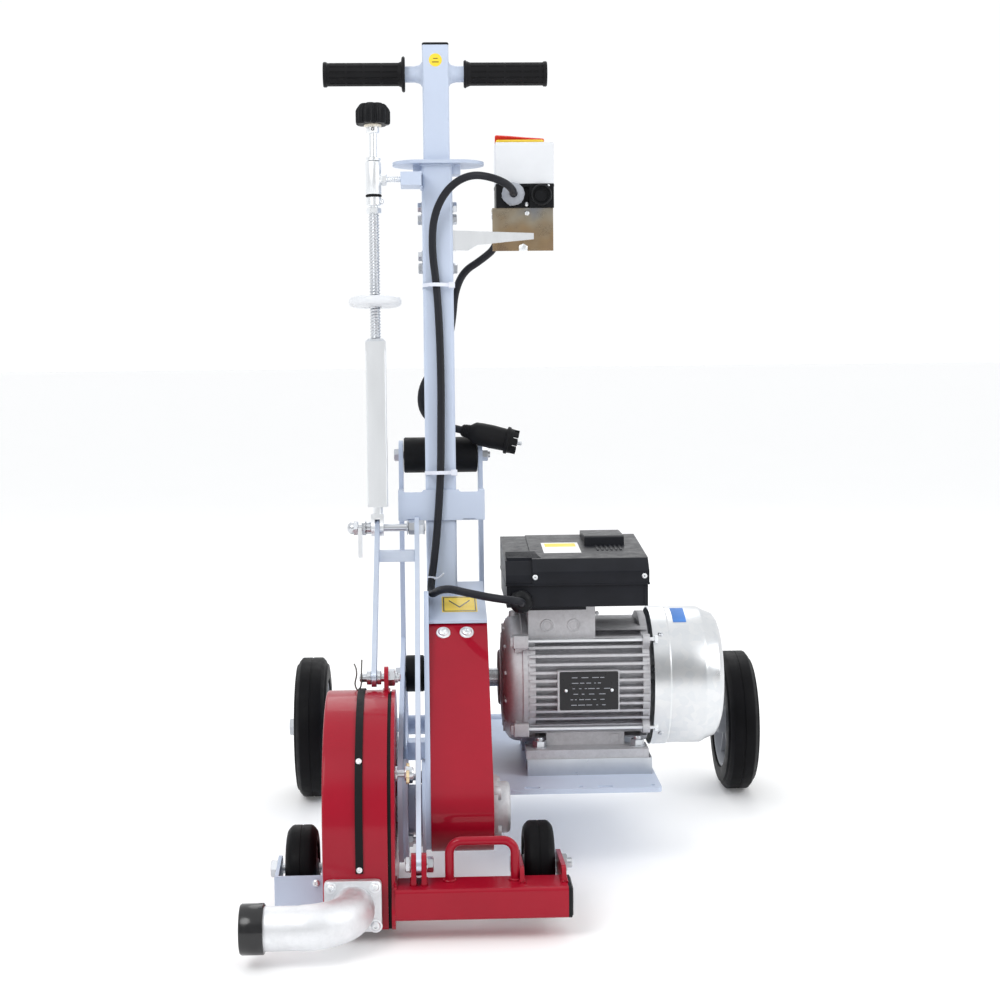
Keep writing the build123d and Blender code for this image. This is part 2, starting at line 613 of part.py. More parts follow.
# ---------------------------------------------------------------- carriage: guard, cross bar, linkage
def make_spindle_tube():
    """Square tube with the spindle nut in its top, on a fork round the link bolt."""
    low, high = up_mast(440), up_mast(657)
    tube = square_tube(26, 2.5, (low + 3, high - 16), 2)
    cap = block((-13, 13), (-13, 13), (high - 16, high))
    cap = chamfer(cap.edges().group_by(Axis.Z)[-1], 4)
    tube += cap + block((-13, 13), (-13, 13), (low, low + 3))
    tube -= rod_z(THREAD_R + FIT, 0, 0, (high - 40, high + 1))
    level = up_mast(LINK_Z)
    left, right = [x - SPINDLE_X for x in LINK_BAR_X]
    tube += rod_z(6, 0, 0, (level + 15, low))
    tube += block((left - 5, right + 5), (-9, 9), (level + 12, level + 18))
    for x in ((left - 5, left - 0.2), (right + 0.2, right + 5)):
        tube += rod_x(11, x, 0, level) + block(x, (-9, 9), (level, level + 12))
    return on_spindle(tube - rod_x(5, (left - 6, right + 6), 0, level))


def make_link_bar():
    """Flat link from the link bolt to the guard's ear, with a brace to the push bar."""
    left, right = LINK_BAR_X
    bar = plate_x(hull((*LINK, 11), (*GUARD_PIN, 11)), LINK_BAR_X)
    brace = (208, 384)
    bar += block((right, -35), (brace[0] - 8, brace[0] + 8), (brace[1] - 7, brace[1] + 7))
    bar -= rod_x(5, (left - 1, right + 1), *LINK)
    return bar - rod_x(5, (left - 1, right + 1), *GUARD_PIN)


def make_push_bar():
    bar = plate_x(hull((*LINK, 14), (*CLEVIS, 12)), (-35, -29))
    return bar - rod_x(5, (-36, -28), *LINK) - rod_x(5, (-36, -28), *CLEVIS)


def make_carriage_bolts():
    """Link bolt, clevis bolt, guard pin and the two front axles."""
    left, right = LINK_BAR_X
    link = rod_x(5, (-122, -20), *LINK) + rod_x(8, (-122, -114), *LINK)
    link += rod_x(8, (-98, left - 5), *LINK)
    for x in ((-114, -108), (-103, -98), (-44, -35), (-29, -22)):
        link += hexagon_x(17, x, *LINK)
    lever = hull((*LINK, 12), (LINK[0] - 6, LINK[1] - 38, 7))
    link += plate_x(lever, (-108, -103))
    guard_pin = rod_x(5, (-98, -60), *GUARD_PIN) + hexagon_x(16, (left - 8, left), *GUARD_PIN)
    guard_pin += hexagon_x(16, (right, right + 7), *GUARD_PIN)
    clevis = bolt_x(10, (-41, -23), *CLEVIS)
    left = rod_x(FRONT_AXLE_R, (-207, -139), FRONT_AXLE_Y, FRONT_WHEEL_R)
    left += hexagon_x(19, (-204, -195), FRONT_AXLE_Y, FRONT_WHEEL_R)
    right = bolt_x(12, (80, 132), FRONT_AXLE_Y, FRONT_WHEEL_R)
    return [link, guard_pin, clevis, left, right]


def make_guard_cover():
    """Half-round dust guard, open at the bottom and on the side of the guard plate."""
    cover = plate_x(arch(GUARD_R, GUARD_BOTTOM), GUARD_X)
    outer_edge = cover.edges().filter_by(GeomType.CIRCLE).group_by(Axis.X)[0]
    cover = fillet(outer_edge, 3)
    cover -= plate_x(arch(GUARD_R - SHEET, -10), (GUARD_X[0] + SHEET, GUARD_X[1] + 1))
    cover -= rod_y(ELBOW_R - 3, PORT_X, (-150, -130), PORT_Z)
    ear = hull((GUARD_PIN[0], GUARD_PIN[1], 13), (GUARD_PIN[0], SHAFT_Z + GUARD_R - 8, 14))
    ear = plate_x(ear, (-71, -66)) - plate_x(arch(GUARD_R - 1, -10), (-72, -65))
    return cover + ear - rod_x(5, (-72, -65), *GUARD_PIN)


def make_guard_plate():
    """Inner wall of the guard, slotted for the drum shaft, that carries the cross bar."""
    nose = hull((-138, 30, 18), (-100, 60, 30), (-100, 34, 26))
    slot = [(math.sin(LEAN) * s, SHAFT_Z + math.cos(LEAN) * s, 24) for s in (-TRAVEL_UP, TRAVEL_DOWN)]
    outline = arch(GUARD_R, GUARD_BOTTOM) + nose - hull(*slot)
    return plate_x(outline, GUARD_PLATE_X) - rod_x(3 + FIT, (-63, -57), -80, 172)


def make_guard_strip():
    """Rubber strip round the rim with its two screws, and the seal to the guard plate."""
    upper = Pos(0, SHAFT_Z) * Circle(GUARD_R + 2) - Rectangle(900, 2 * (SHAFT_Z + 6))
    strip = plate_x(upper - Pos(0, SHAFT_Z) * Circle(GUARD_R), (-101.5, -93))
    front = block((-101.5, -93), (-GUARD_R - 2, -GUARD_R), (76, SHAFT_Z + 6))
    rear = block((-101.5, -93), (GUARD_R, GUARD_R + 2), (20, SHAFT_Z + 6))
    seal = arch(GUARD_R - 2, GUARD_BOTTOM) - arch(GUARD_R - 8, -10)
    return [strip + front + rear, plate_x(seal, (GUARD_X[1], GUARD_PLATE_X[0]))]


def make_crossbar():
    """Square-ended box bar with the clevis, wheel lugs and a bent-rod carry handle."""
    bar = block(CROSSBAR_X, CROSSBAR_Y, CROSSBAR_Z)
    bar = fillet(bar.edges().filter_by(Axis.X), 4)
    bar -= block((CROSSBAR_X[0] - 1, CROSSBAR_X[1] + 1), (-152, -108), (28, 57))
    for x in ((-40.5, -35), (-29, -23.5)):
        lug = hull((*CLEVIS, 13), (CLEVIS[0], CROSSBAR_Z[1] + 1, 16))
        lug = plate_x(lug, x) - block((-60, 0), (-160, -100), (0, 59.5))
        bar += lug - rod_x(5, (-41, -23), *CLEVIS)
    for x in ((80, 85), (127, 132)):
        root = ((CROSSBAR_Y[1] - 18, 48, 14), (CROSSBAR_Y[1] - 12, 62, 12))
        lug = hull((FRONT_AXLE_Y, FRONT_WHEEL_R, 16), *root)
        lug = plate_x(lug, x) - block((70, 140), CROSSBAR_Y, (20, 59.5))
        bar += lug - rod_x(FRONT_AXLE_R, (79, 133), FRONT_AXLE_Y, FRONT_WHEEL_R)
    path = FilletPolyline((2, -122, 59), (2, -122, 105), (75, -122, 105), (75, -122, 59), radius=14)
    return bar + sweep(Plane(origin=(2, -122, 59)) * Circle(5), path=path)


def make_crossbar_cap():
    x = CROSSBAR_X[1]
    cap = block((x, x + 5), CROSSBAR_Y, CROSSBAR_Z)
    cap = fillet(cap.edges().filter_by(Axis.X), 4)
    return cap + block((x - 12, x), (-151.5, -108.5), (28.5, 56.5))


def make_wheel_fork():
    """Folded fork that holds the left front wheel against the guard's wall."""
    fork = block((-195, -139), (-94, -91), (26, 60))
    for x in ((-195, -191), (-143, -139)):
        fork += plate_x(hull((FRONT_AXLE_Y, FRONT_WHEEL_R, 15), (-86, 50, 8), (-86, 34, 8)), x)
    fork -= block((-191, -143), (-91, 0), (0, 100))
    return fork - rod_x(FRONT_AXLE_R, (-200, -130), FRONT_AXLE_Y, FRONT_WHEEL_R) + block(
        (-139, -138), (-94, -20), (34, 56))


def make_elbow():
    """Cast suction elbow with a square flange."""
    start = -GUARD_R - 9
    turn = -215 + ELBOW_BEND
    path = Line((PORT_X, start, PORT_Z), (PORT_X, turn, PORT_Z))
    path += CenterArc((PORT_X - ELBOW_BEND, turn, PORT_Z), ELBOW_BEND, 0, -90)
    path += Line((PORT_X - ELBOW_BEND, -215, PORT_Z), (-219, -215, PORT_Z))
    section = Plane(origin=(PORT_X, start, PORT_Z), z_dir=(0, -1, 0))
    elbow = sweep(section * Circle(ELBOW_R), path=path)
    flange = block((PORT_X - 31.5, PORT_X + 31.5), (start, -GUARD_R), (PORT_Z - 28.5, PORT_Z + 29))
    flange = fillet(flange.edges().filter_by(Axis.Y), 6)
    hole = rod_y(ELBOW_R - 3, PORT_X, (start - 1, -GUARD_R + 1), PORT_Z)
    return elbow + flange - sweep(section * Circle(ELBOW_R - 3), path=path) - hole


def make_cuff():
    cuff = rod_x(27, (-221, -195), -215, PORT_Z)
    cuff = fillet(cuff.edges().filter_by(GeomType.CIRCLE).group_by(Axis.X)[0], 2)
    return cuff - rod_x(ELBOW_R, (-219, -194), -215, PORT_Z) - rod_x(ELBOW_R - 3, (-222, -194), -215, PORT_Z)


def make_wing_screw():
    """Wing screw that clamps the guard plate."""
    screw = rod_x(3, (-62, -44), -80, 172) + rod_x(7, (-50, -38), -80, 172)
    wing = Box(5, 34, 12) + Pos(0, 12, 3) * Box(4, 12, 16) + Pos(0, -12, 3) * Box(4, 12, 16)
    return screw + Pos(-43, -80, 172) * wing


# ---------------------------------------------------------------- wheels and rollers
def make_wheel(x, y, z, radius, width, bore, hub_width, rim_share):
    """Rubber tyre on a dished hub."""
    rim_r = radius * rim_share
    span = (x - width / 2, x + width / 2)
    tyre = rod_x(radius, span, y, z)
    tyre = fillet(tyre.edges().filter_by(GeomType.CIRCLE), width * 0.16)
    tyre -= rod_x(rim_r, (span[0] - 1, span[1] + 1), y, z)
    rim = rod_x(rim_r, (span[0] + 3, span[1] - 3), y, z)
    for side in (span[0], span[1]):
        recess = (side - 9, side + 9)
        rim -= rod_x(rim_r - 5, recess, y, z) - rod_x(rim_r * 0.42, recess, y, z)
    rim += rod_x(max(bore * 1.7, rim_r * 0.3), (x - hub_width / 2, x + hub_width / 2), y, z)
    return [tyre, rim - rod_x(bore + FIT, (x - hub_width, x + hub_width), y, z)]


def make_rear_wheel(x):
    return make_wheel(x, AXLE_Y, AXLE_Z, REAR_WHEEL_R, REAR_WHEEL_W, AXLE_R, 52, 0.68)


def make_front_wheel(x):
    return make_wheel(x, FRONT_AXLE_Y, FRONT_WHEEL_R, FRONT_WHEEL_R, FRONT_WHEEL_W, FRONT_AXLE_R, 38, 0.62)


def make_roller(x, place):
    roller = rod_x(ROLLER_R, x, *place)
    roller = fillet(roller.edges().filter_by(GeomType.CIRCLE), 1.5)
    return roller - rod_x(5 + FIT, (x[0] - 1, x[1] + 1), *place)


def make_frame_bolts():
    """Roller axles, rear axle nuts, hub bolts, bracket screws and cover screws."""
    bolts = [bolt_x(10, (LEFT_PLATE_X, RIGHT_PLATE_X + PLATE), *UPPER_ROLLER),
             bolt_x(10, (LEFT_PLATE_X, CENTRE_PLATE_X + PLATE), *LOWER_ROLLER)]
    for x in ((-222, -214), (452, 461)):
        bolts.append(hexagon_x(24, x, AXLE_Y, AXLE_Z))
    inner_face = LEFT_PLATE_X + PLATE + HUB_FLANGES[0]
    flange_face, outer_face = CENTRE_PLATE_X - HUB_FLANGES[1], CENTRE_PLATE_X + PLATE
    for y, z in hub_bolt_places():
        bolts.append(rod_x(4, (LEFT_PLATE_X, inner_face), y, z)
                     + hexagon_x(13, (inner_face, inner_face + 5), y, z))
        bolts.append(rod_x(4, (flange_face, outer_face), y, z)
                     + hexagon_x(13, (flange_face - 5, flange_face), y, z))
    bolts += [Pos(x, 0, 0) * cover_screw() for x in (0, 29)]
    for side in (-1, 1):
        for z in (832, 816, 768, 752):
            if side < 0 or z != 768:
                span = sorted((side * 20, side * 26))
                bolts.append(MAST * hexagon_x(13, span, 6, up_mast(z)))
    return bolts


def cover_screw():
    """Screw and washer standing on the cover's sloping front, just below its top edge."""
    (y1, z1, r1), (y2, z2, r2) = CASE_LOW, CASE_TOP
    reach = math.hypot(y2 - y1, z2 - z1)
    angle = math.atan2(z2 - z1, y2 - y1) + math.acos((r1 - r2) / reach)
    out = Vector(0, math.cos(angle), math.sin(angle))
    down = Vector(0, -math.sin(angle), math.cos(angle))
    foot = Vector(0, y2, z2) + out * r2 + down * 14
    screw = Pos(0, 0, 1) * Cylinder(9, 2) + Pos(0, 0, 4) * Cylinder(6, 4)
    return Plane(origin=foot, x_dir=(1, 0, 0), z_dir=out) * screw


# ---------------------------------------------------------------- cables
def gland(place, towards):
    """Hexagonal cable gland standing on a wall at place and pointing towards."""
    wall = Plane(origin=place, z_dir=towards)
    nut = extrude(RegularPolygon(11, 6), 6) + extrude(Circle(9.5), 13) + extrude(Circle(7.5), 17)
    return wall * (nut - extrude(Circle(CORD_R), 17))


def make_glands():
    return [gland((99, SWITCH_Y[0], 846), (0, -1, 0)),
            gland((85, 352, SWITCH_Z[0]), (0, 0, -1)),
            gland((97.5, BOX_FRONT, 332), (0, -1, 0))]


def make_ties():
    """Nylon ties round the mast and its cable."""
    ties = []
    for z in (727, 483):
        level = up_mast(z)
        band = RectangleRounded(44, 60, 6) - RectangleRounded(41, 57, 5)
        loop = extrude(Plane.XY.offset(level - 3) * Pos(0, -8) * band, 6)
        ties.append(MAST * (loop + block((13, 21), (-43, -36.5), (level - 4, level + 4))))
    return ties


def make_plug():
    """Angled rubber plug with its pins, from the cord's end to the pin tips."""
    start, tip = Vector(*POWER_ROUTE[-1]), Vector(104, 333, 519)
    along = Plane(origin=start, z_dir=tip - start)
    length = (tip - start).length
    body = extrude(Circle(9), 12) + Pos(0, 0, 8) * extrude(Circle(14.5), 20, taper=-3)
    body += Pos(0, 0, 26) * extrude(Circle(15.6), length - 40, taper=-4)
    body += Pos(0, 0, length - 16) * extrude(Circle(18.5), 10)
    for side in (-1, 1):
        body += Pos(side * 9.5, 0, length - 6) * extrude(Circle(2.4), 12)
    return along * body


# ---------------------------------------------------------------- assembly
def build_nodes():
    roller_x = (LEFT_PLATE_X + PLATE + 1, RIGHT_PLATE_X - 1)
    short_x = (LEFT_PLATE_X + PLATE + 1, CENTRE_PLATE_X - 1)
    return {
        "mast_tube": make_mast_tube(), "yoke_plate": make_yoke(),
        "left_side_plate": make_left_plate(), "centre_plate": make_centre_plate(),
        "right_side_plate": make_right_plate(), "base_plate": make_base_plate(),
        "rear_axle": make_rear_axle(), "bearing_housing": make_bearing_housing(),
        "belt_cover": make_belt_cover(), "belt_top_plate": make_top_plate(),
        "outboard_cap": make_outboard_cap(), "t_fitting": make_t_fitting(),
        "motor_casing": make_stator(), "motor_end_shield": make_end_shield(),
        "fan_cowl": make_fan_cowl(), "motor_rails": make_motor_rails(),
        "motor_bolts": make_motor_bolts(), "terminal_box": make_terminal_box(),
        "cable_glands": make_glands(), "switch_arm": make_switch_arm(),
        "switch_bracket": make_back_plate(), "switch_box": make_switch_box(),
        "switch_base": make_switch_base(), "cable_ties": make_ties(),
        "motor_cable": cord_tube(MOTOR_ROUTE, CORD_R), "power_cord": cord_tube(POWER_ROUTE, CORD_R),
        "power_plug": make_plug(), "frame_bolts": make_frame_bolts(), "v_belts": make_belts(),
        "handle_mast": make_handle_mast(), "handle_cap": make_handle_cap(), "grips": make_grips(),
        "depth_knob": make_depth_knob(), "spindle_rod": make_spindle_rod(),
        "lock_disc": make_lock_disc(), "spindle_tube": make_spindle_tube(),
        "link_bar": make_link_bar(), "push_bar": make_push_bar(),
        "carriage_bolts": make_carriage_bolts(), "guard_cover": make_guard_cover(),
        "guard_plate": make_guard_plate(), "guard_strip": make_guard_strip(),
        "crossbar": make_crossbar(), "crossbar_cap": make_crossbar_cap(),
        "wheel_fork": make_wheel_fork(), "suction_elbow": make_elbow(), "elbow_cuff": make_cuff(),
        "left_rear_wheel": make_rear_wheel(REAR_WHEEL_X[0]),
        "right_rear_wheel": make_rear_wheel(REAR_WHEEL_X[1]),
        "left_front_wheel": make_front_wheel(FRONT_WHEEL_X[0]),
        "right_front_wheel": make_front_wheel(FRONT_WHEEL_X[1]),
        "grinding_drum": make_drum(), "drum_shaft": make_drum_shaft(),
        "driven_pulley": make_pulley(DRIVEN_PULLEY_R, SHAFT_R, 0, SHAFT_Z),
        "motor_rotor": make_rotor(),
        "drive_pulley": make_pulley(DRIVE_PULLEY_R, MOTOR_SHAFT_R, MOTOR_Y, MOTOR_Z),
        "stop_button": make_stop_button(), "upper_roller": make_roller(roller_x, UPPER_ROLLER),
        "lower_roller": make_roller(short_x, LOWER_ROLLER), "wing_screw": make_wing_screw(),
    }


def main():
    os.makedirs("parts", exist_ok=True)
    nodes = {name: Compound(children=shape) if isinstance(shape, list) else shape
             for name, shape in build_nodes().items()}
    cord_nodes = ("power_cord", "power_plug")
    box = Compound(children=[Compound(shape.wrapped) for name, shape in nodes.items()
                             if name not in cord_nodes]).bounding_box()
    origin = Pos(-(box.min.X + box.max.X) / 2, -(box.min.Y + box.max.Y) / 2, -box.min.Z)
    print("origin offset", origin.position, "box", box.min, box.max)
    for name, shape in nodes.items():
        export_step(origin * shape, f"parts/{name}.step")


main()
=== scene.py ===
import json
import math
import random

import bmesh
import bpy
from mathutils import Matrix, Vector

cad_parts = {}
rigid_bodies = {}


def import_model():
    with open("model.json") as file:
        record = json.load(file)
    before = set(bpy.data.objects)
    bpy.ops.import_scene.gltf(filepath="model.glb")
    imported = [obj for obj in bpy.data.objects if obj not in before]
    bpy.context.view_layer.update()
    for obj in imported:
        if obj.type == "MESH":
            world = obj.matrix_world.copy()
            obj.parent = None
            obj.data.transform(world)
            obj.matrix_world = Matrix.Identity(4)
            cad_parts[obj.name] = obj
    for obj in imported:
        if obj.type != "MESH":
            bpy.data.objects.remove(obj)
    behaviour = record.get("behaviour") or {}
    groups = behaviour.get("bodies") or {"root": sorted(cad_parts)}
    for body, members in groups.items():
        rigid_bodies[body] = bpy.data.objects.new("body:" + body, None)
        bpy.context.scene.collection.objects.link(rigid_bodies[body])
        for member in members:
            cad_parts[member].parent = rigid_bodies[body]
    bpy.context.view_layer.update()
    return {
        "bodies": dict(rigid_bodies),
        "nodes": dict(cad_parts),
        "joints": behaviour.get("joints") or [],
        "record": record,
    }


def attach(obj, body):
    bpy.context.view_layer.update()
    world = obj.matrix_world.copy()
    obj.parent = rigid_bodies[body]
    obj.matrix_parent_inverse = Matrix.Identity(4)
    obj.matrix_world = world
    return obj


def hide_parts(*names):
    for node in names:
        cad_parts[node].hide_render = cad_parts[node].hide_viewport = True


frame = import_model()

# The shapes below are written in millimetres in the frame of the part's own design, where
# X = 0 is the mast's centre, Y = 0 the drum shaft and Z = 0 the floor, and then moved to the row frame.
MM = 0.001
ORIGIN = (119.5, 178.0, 0.0)
SHAFT_Z = 110.0
LEAN = math.radians(4.1)
MAST_Y, MAST_Z = 290.0, 440.0
MOTOR_Y, MOTOR_Z = 238.0, 219.0
UPPER_ROLLER = (362.0, 502.0)
LOWER_ROLLER = (262.0, 221.0)
SPINDLE = (-82.0, -40.0)
GUARD_PIN = (20.0, 263.0)
CLEVIS = (-125.0, 80.0)
REAR_AXLE = (498, 100)
FRONT_AXLE = (-30, 50)
FORWARDS = (0, -1, 0)

DESIGN = Matrix.Scale(MM, 4) @ Matrix.Translation([-c for c in ORIGIN])
MAST = DESIGN @ Matrix.Translation((0, MAST_Y, MAST_Z)) @ Matrix.Rotation(-LEAN, 4, "X")
ON_SPINDLE = MAST @ Matrix.Translation((*SPINDLE, 0))


def at(x, y, z):
    """A design point in the row frame, in metres."""
    return DESIGN @ Vector((x, y, z))


def up_mast(z):
    """Distance along the mast's own axis of a height above the floor."""
    return (z - MAST_Z) / math.cos(LEAN)


def mast_point(y, z):
    """Design (y, z) of a point at offset y from the mast's centre line, at height z along it."""
    along = up_mast(z)
    return (MAST_Y + along * math.sin(LEAN) + y * math.cos(LEAN),
            MAST_Z + along * math.cos(LEAN) - y * math.sin(LEAN))


LINK = mast_point(SPINDLE[1], 413)


# ---------------------------------------------------------------- camera
def make_camera():
    """Camera standing in front of the machine, a little above its middle."""
    pitch, yaw, roll = math.radians(5.4), math.radians(2.2), math.radians(0.55)
    ahead = Vector((math.sin(yaw) * math.cos(pitch), math.cos(yaw) * math.cos(pitch), -math.sin(pitch)))
    level = Vector((math.cos(yaw), -math.sin(yaw), 0))
    top = level.cross(ahead)
    right = math.cos(roll) * level - math.sin(roll) * top
    up = math.sin(roll) * level + math.cos(roll) * top
    data = bpy.data.cameras.new("camera")
    data.lens, data.sensor_width = 64.8, 36.0
    data.clip_start, data.clip_end = 0.05, 50
    camera = bpy.data.objects.new("camera", data)
    bpy.context.scene.collection.objects.link(camera)
    turn = Matrix((right, up, -ahead)).transposed().to_4x4()
    camera.matrix_world = Matrix.Translation(at(-13, -2078, 670)) @ turn
    bpy.context.scene.camera = camera


make_camera()


# ---------------------------------------------------------------- materials
class Paint:
    """Builds one node material step by step."""

    def __init__(self, name, colour, rough, metallic=0.0):
        self.material = bpy.data.materials.new(name)
        self.material.use_nodes = True
        self.tree = self.material.node_tree
        self.shader = self.tree.nodes["Principled BSDF"]
        self.colour, self.rough = colour, rough
        self.shader.inputs["Base Color"].default_value = (*colour, 1)
        self.shader.inputs["Roughness"].default_value = rough
        self.shader.inputs["Metallic"].default_value = metallic
        self.place = self.tree.nodes.new("ShaderNodeTexCoord").outputs["Object"]
        self.bump = None

    def set(self, **values):
        for name, value in values.items():
            self.shader.inputs[name.replace("_", " ")].default_value = value
        return self

    def link(self, a, b):
        self.tree.links.new(a, b)

    def noise(self, scale, stretch=(1, 1, 1), detail=4.0, rough=0.55, turn=(0, 0, 0)):
        """Noise in the object's own place, stretched along its axes; scale is bumps per metre."""
        mapping = self.tree.nodes.new("ShaderNodeMapping")
        mapping.inputs["Scale"].default_value = stretch
        mapping.inputs["Rotation"].default_value = turn
        self.link(self.place, mapping.inputs["Vector"])
        noise = self.tree.nodes.new("ShaderNodeTexNoise")
        noise.inputs["Scale"].default_value = scale
        noise.inputs["Detail"].default_value = detail
        noise.inputs["Roughness"].default_value = rough
        self.link(mapping.outputs["Vector"], noise.inputs["Vector"])
        return noise.outputs["Fac"]

    def cells(self, scale):
        cells = self.tree.nodes.new("ShaderNodeTexVoronoi")
        cells.inputs["Scale"].default_value = scale
        self.link(self.place, cells.inputs["Vector"])
        return cells

    def ramp(self, value, stops):
        """Colour ramp over (position, colour) stops."""
        ramp = self.tree.nodes.new("ShaderNodeValToRGB")
        points = ramp.color_ramp.elements
        while len(points) < len(stops):
            points.new(0.5)
        for point, (where, colour) in zip(points, stops):
            point.position = where
            point.color = (*colour, 1)
        self.link(value, ramp.inputs["Fac"])
        return ramp.outputs["Color"]

    def mottle(self, value, amount, low=0.35, high=0.65):
        """Base colour varying from darker to lighter with a value."""
        dark = [c * (1 - amount) for c in self.colour]
        light = [min(1.0, c * (1 + amount)) for c in self.colour]
        self.link(self.ramp(value, [(low, dark), (high, light)]), self.shader.inputs["Base Color"])
        return self

    def tint(self, value, stops):
        self.link(self.ramp(value, stops), self.shader.inputs["Base Color"])
        return self

    def gloss(self, value, low, high, start=0.3, end=0.7):
        """Roughness from low to high with a value."""
        spread = self.tree.nodes.new("ShaderNodeMapRange")
        spread.inputs["From Min"].default_value = start
        spread.inputs["From Max"].default_value = end
        spread.inputs["To Min"].default_value = low
        spread.inputs["To Max"].default_value = high
        self.link(value, spread.inputs["Value"])
        self.link(spread.outputs["Result"], self.shader.inputs["Roughness"])
        return self

    def raised(self, value, distance, strength=1.0):
        """Adds bump of a real height in metres."""
        bump = self.tree.nodes.new("ShaderNodeBump")
        bump.inputs["Distance"].default_value = distance
        bump.inputs["Strength"].default_value = strength
        self.link(value, bump.inputs["Height"])
        if self.bump:
            self.link(self.bump, bump.inputs["Normal"])
        self.bump = bump.outputs["Normal"]
        self.link(self.bump, self.shader.inputs["Normal"])
        return self


def painted(name, colour, rough, coat, mottle, grain, coat_rough=0.06):
    """Sprayed paint: a faint unevenness in colour and the slow ripple of its gloss coat."""
    paint = Paint(name, colour, rough)
    paint.mottle(paint.noise(9, detail=6), mottle)
    paint.gloss(paint.noise(55, detail=6, rough=0.7), rough - 0.06, rough + 0.1)
    paint.raised(paint.noise(420, detail=2), grain)
    paint.raised(paint.noise(28, detail=2), grain * 6)
    return paint.set(Coat_Weight=coat, Coat_Roughness=coat_rough, Specular_IOR_Level=0.12).material


def metal(name, colour, rough, mottle, scale, stretch=(1, 1, 1), grain=0.000003, spread=0.1):
    """Bare or plated metal with mottled colour and fine grain."""
    bare = Paint(name, colour, rough, 1.0)
    bare.mottle(bare.noise(scale, stretch, detail=8, rough=0.65), mottle)
    bare.gloss(bare.noise(scale * 3, stretch, detail=6), rough - spread, rough + spread)
    bare.raised(bare.noise(900, stretch, detail=3), grain)
    return bare.material


def moulded(name, colour, rough, grain, mottle=0.12, scale=1600, shine=0.3):
    """Moulded plastic or rubber with a fine skin texture."""
    skin = Paint(name, colour, rough)
    skin.mottle(skin.noise(30, detail=5), mottle)
    skin.gloss(skin.noise(70, detail=6, rough=0.7), rough - 0.08, rough + 0.12)
    skin.raised(skin.noise(scale, detail=2), grain)
    skin.raised(skin.noise(90, detail=3), grain * 2)
    return skin.set(Specular_IOR_Level=shine).material


def sheet_zinc(name):
    """Galvanised sheet with faint spangle."""
    sheet = Paint(name, (0.74, 0.75, 0.75), 0.28, 1.0)
    cells = sheet.cells(110)
    sheet.tint(cells.outputs["Color"], [(0.2, (0.67, 0.69, 0.71)), (0.8, (0.72, 0.73, 0.74))])
    sheet.gloss(sheet.noise(12, (1, 3, 3), detail=2), 0.27, 0.31)
    sheet.raised(sheet.noise(500, (1, 8, 8), detail=3), 0.000001)
    return sheet.material


def passivated(name):
    """Yellow passivated zinc, its colour drifting between gold, brown and blue."""
    sheet = Paint(name, (0.55, 0.42, 0.27), 0.3, 1.0)
    sheet.tint(sheet.noise(9, (1, 1, 1.4), detail=3), [
        (0.30, (0.27, 0.29, 0.33)), (0.42, (0.40, 0.35, 0.27)), (0.55, (0.38, 0.27, 0.16)),
        (0.70, (0.30, 0.21, 0.15))])
    sheet.gloss(sheet.noise(60, detail=6), 0.22, 0.42)
    sheet.raised(sheet.noise(700, detail=3), 0.000003)
    return sheet.material


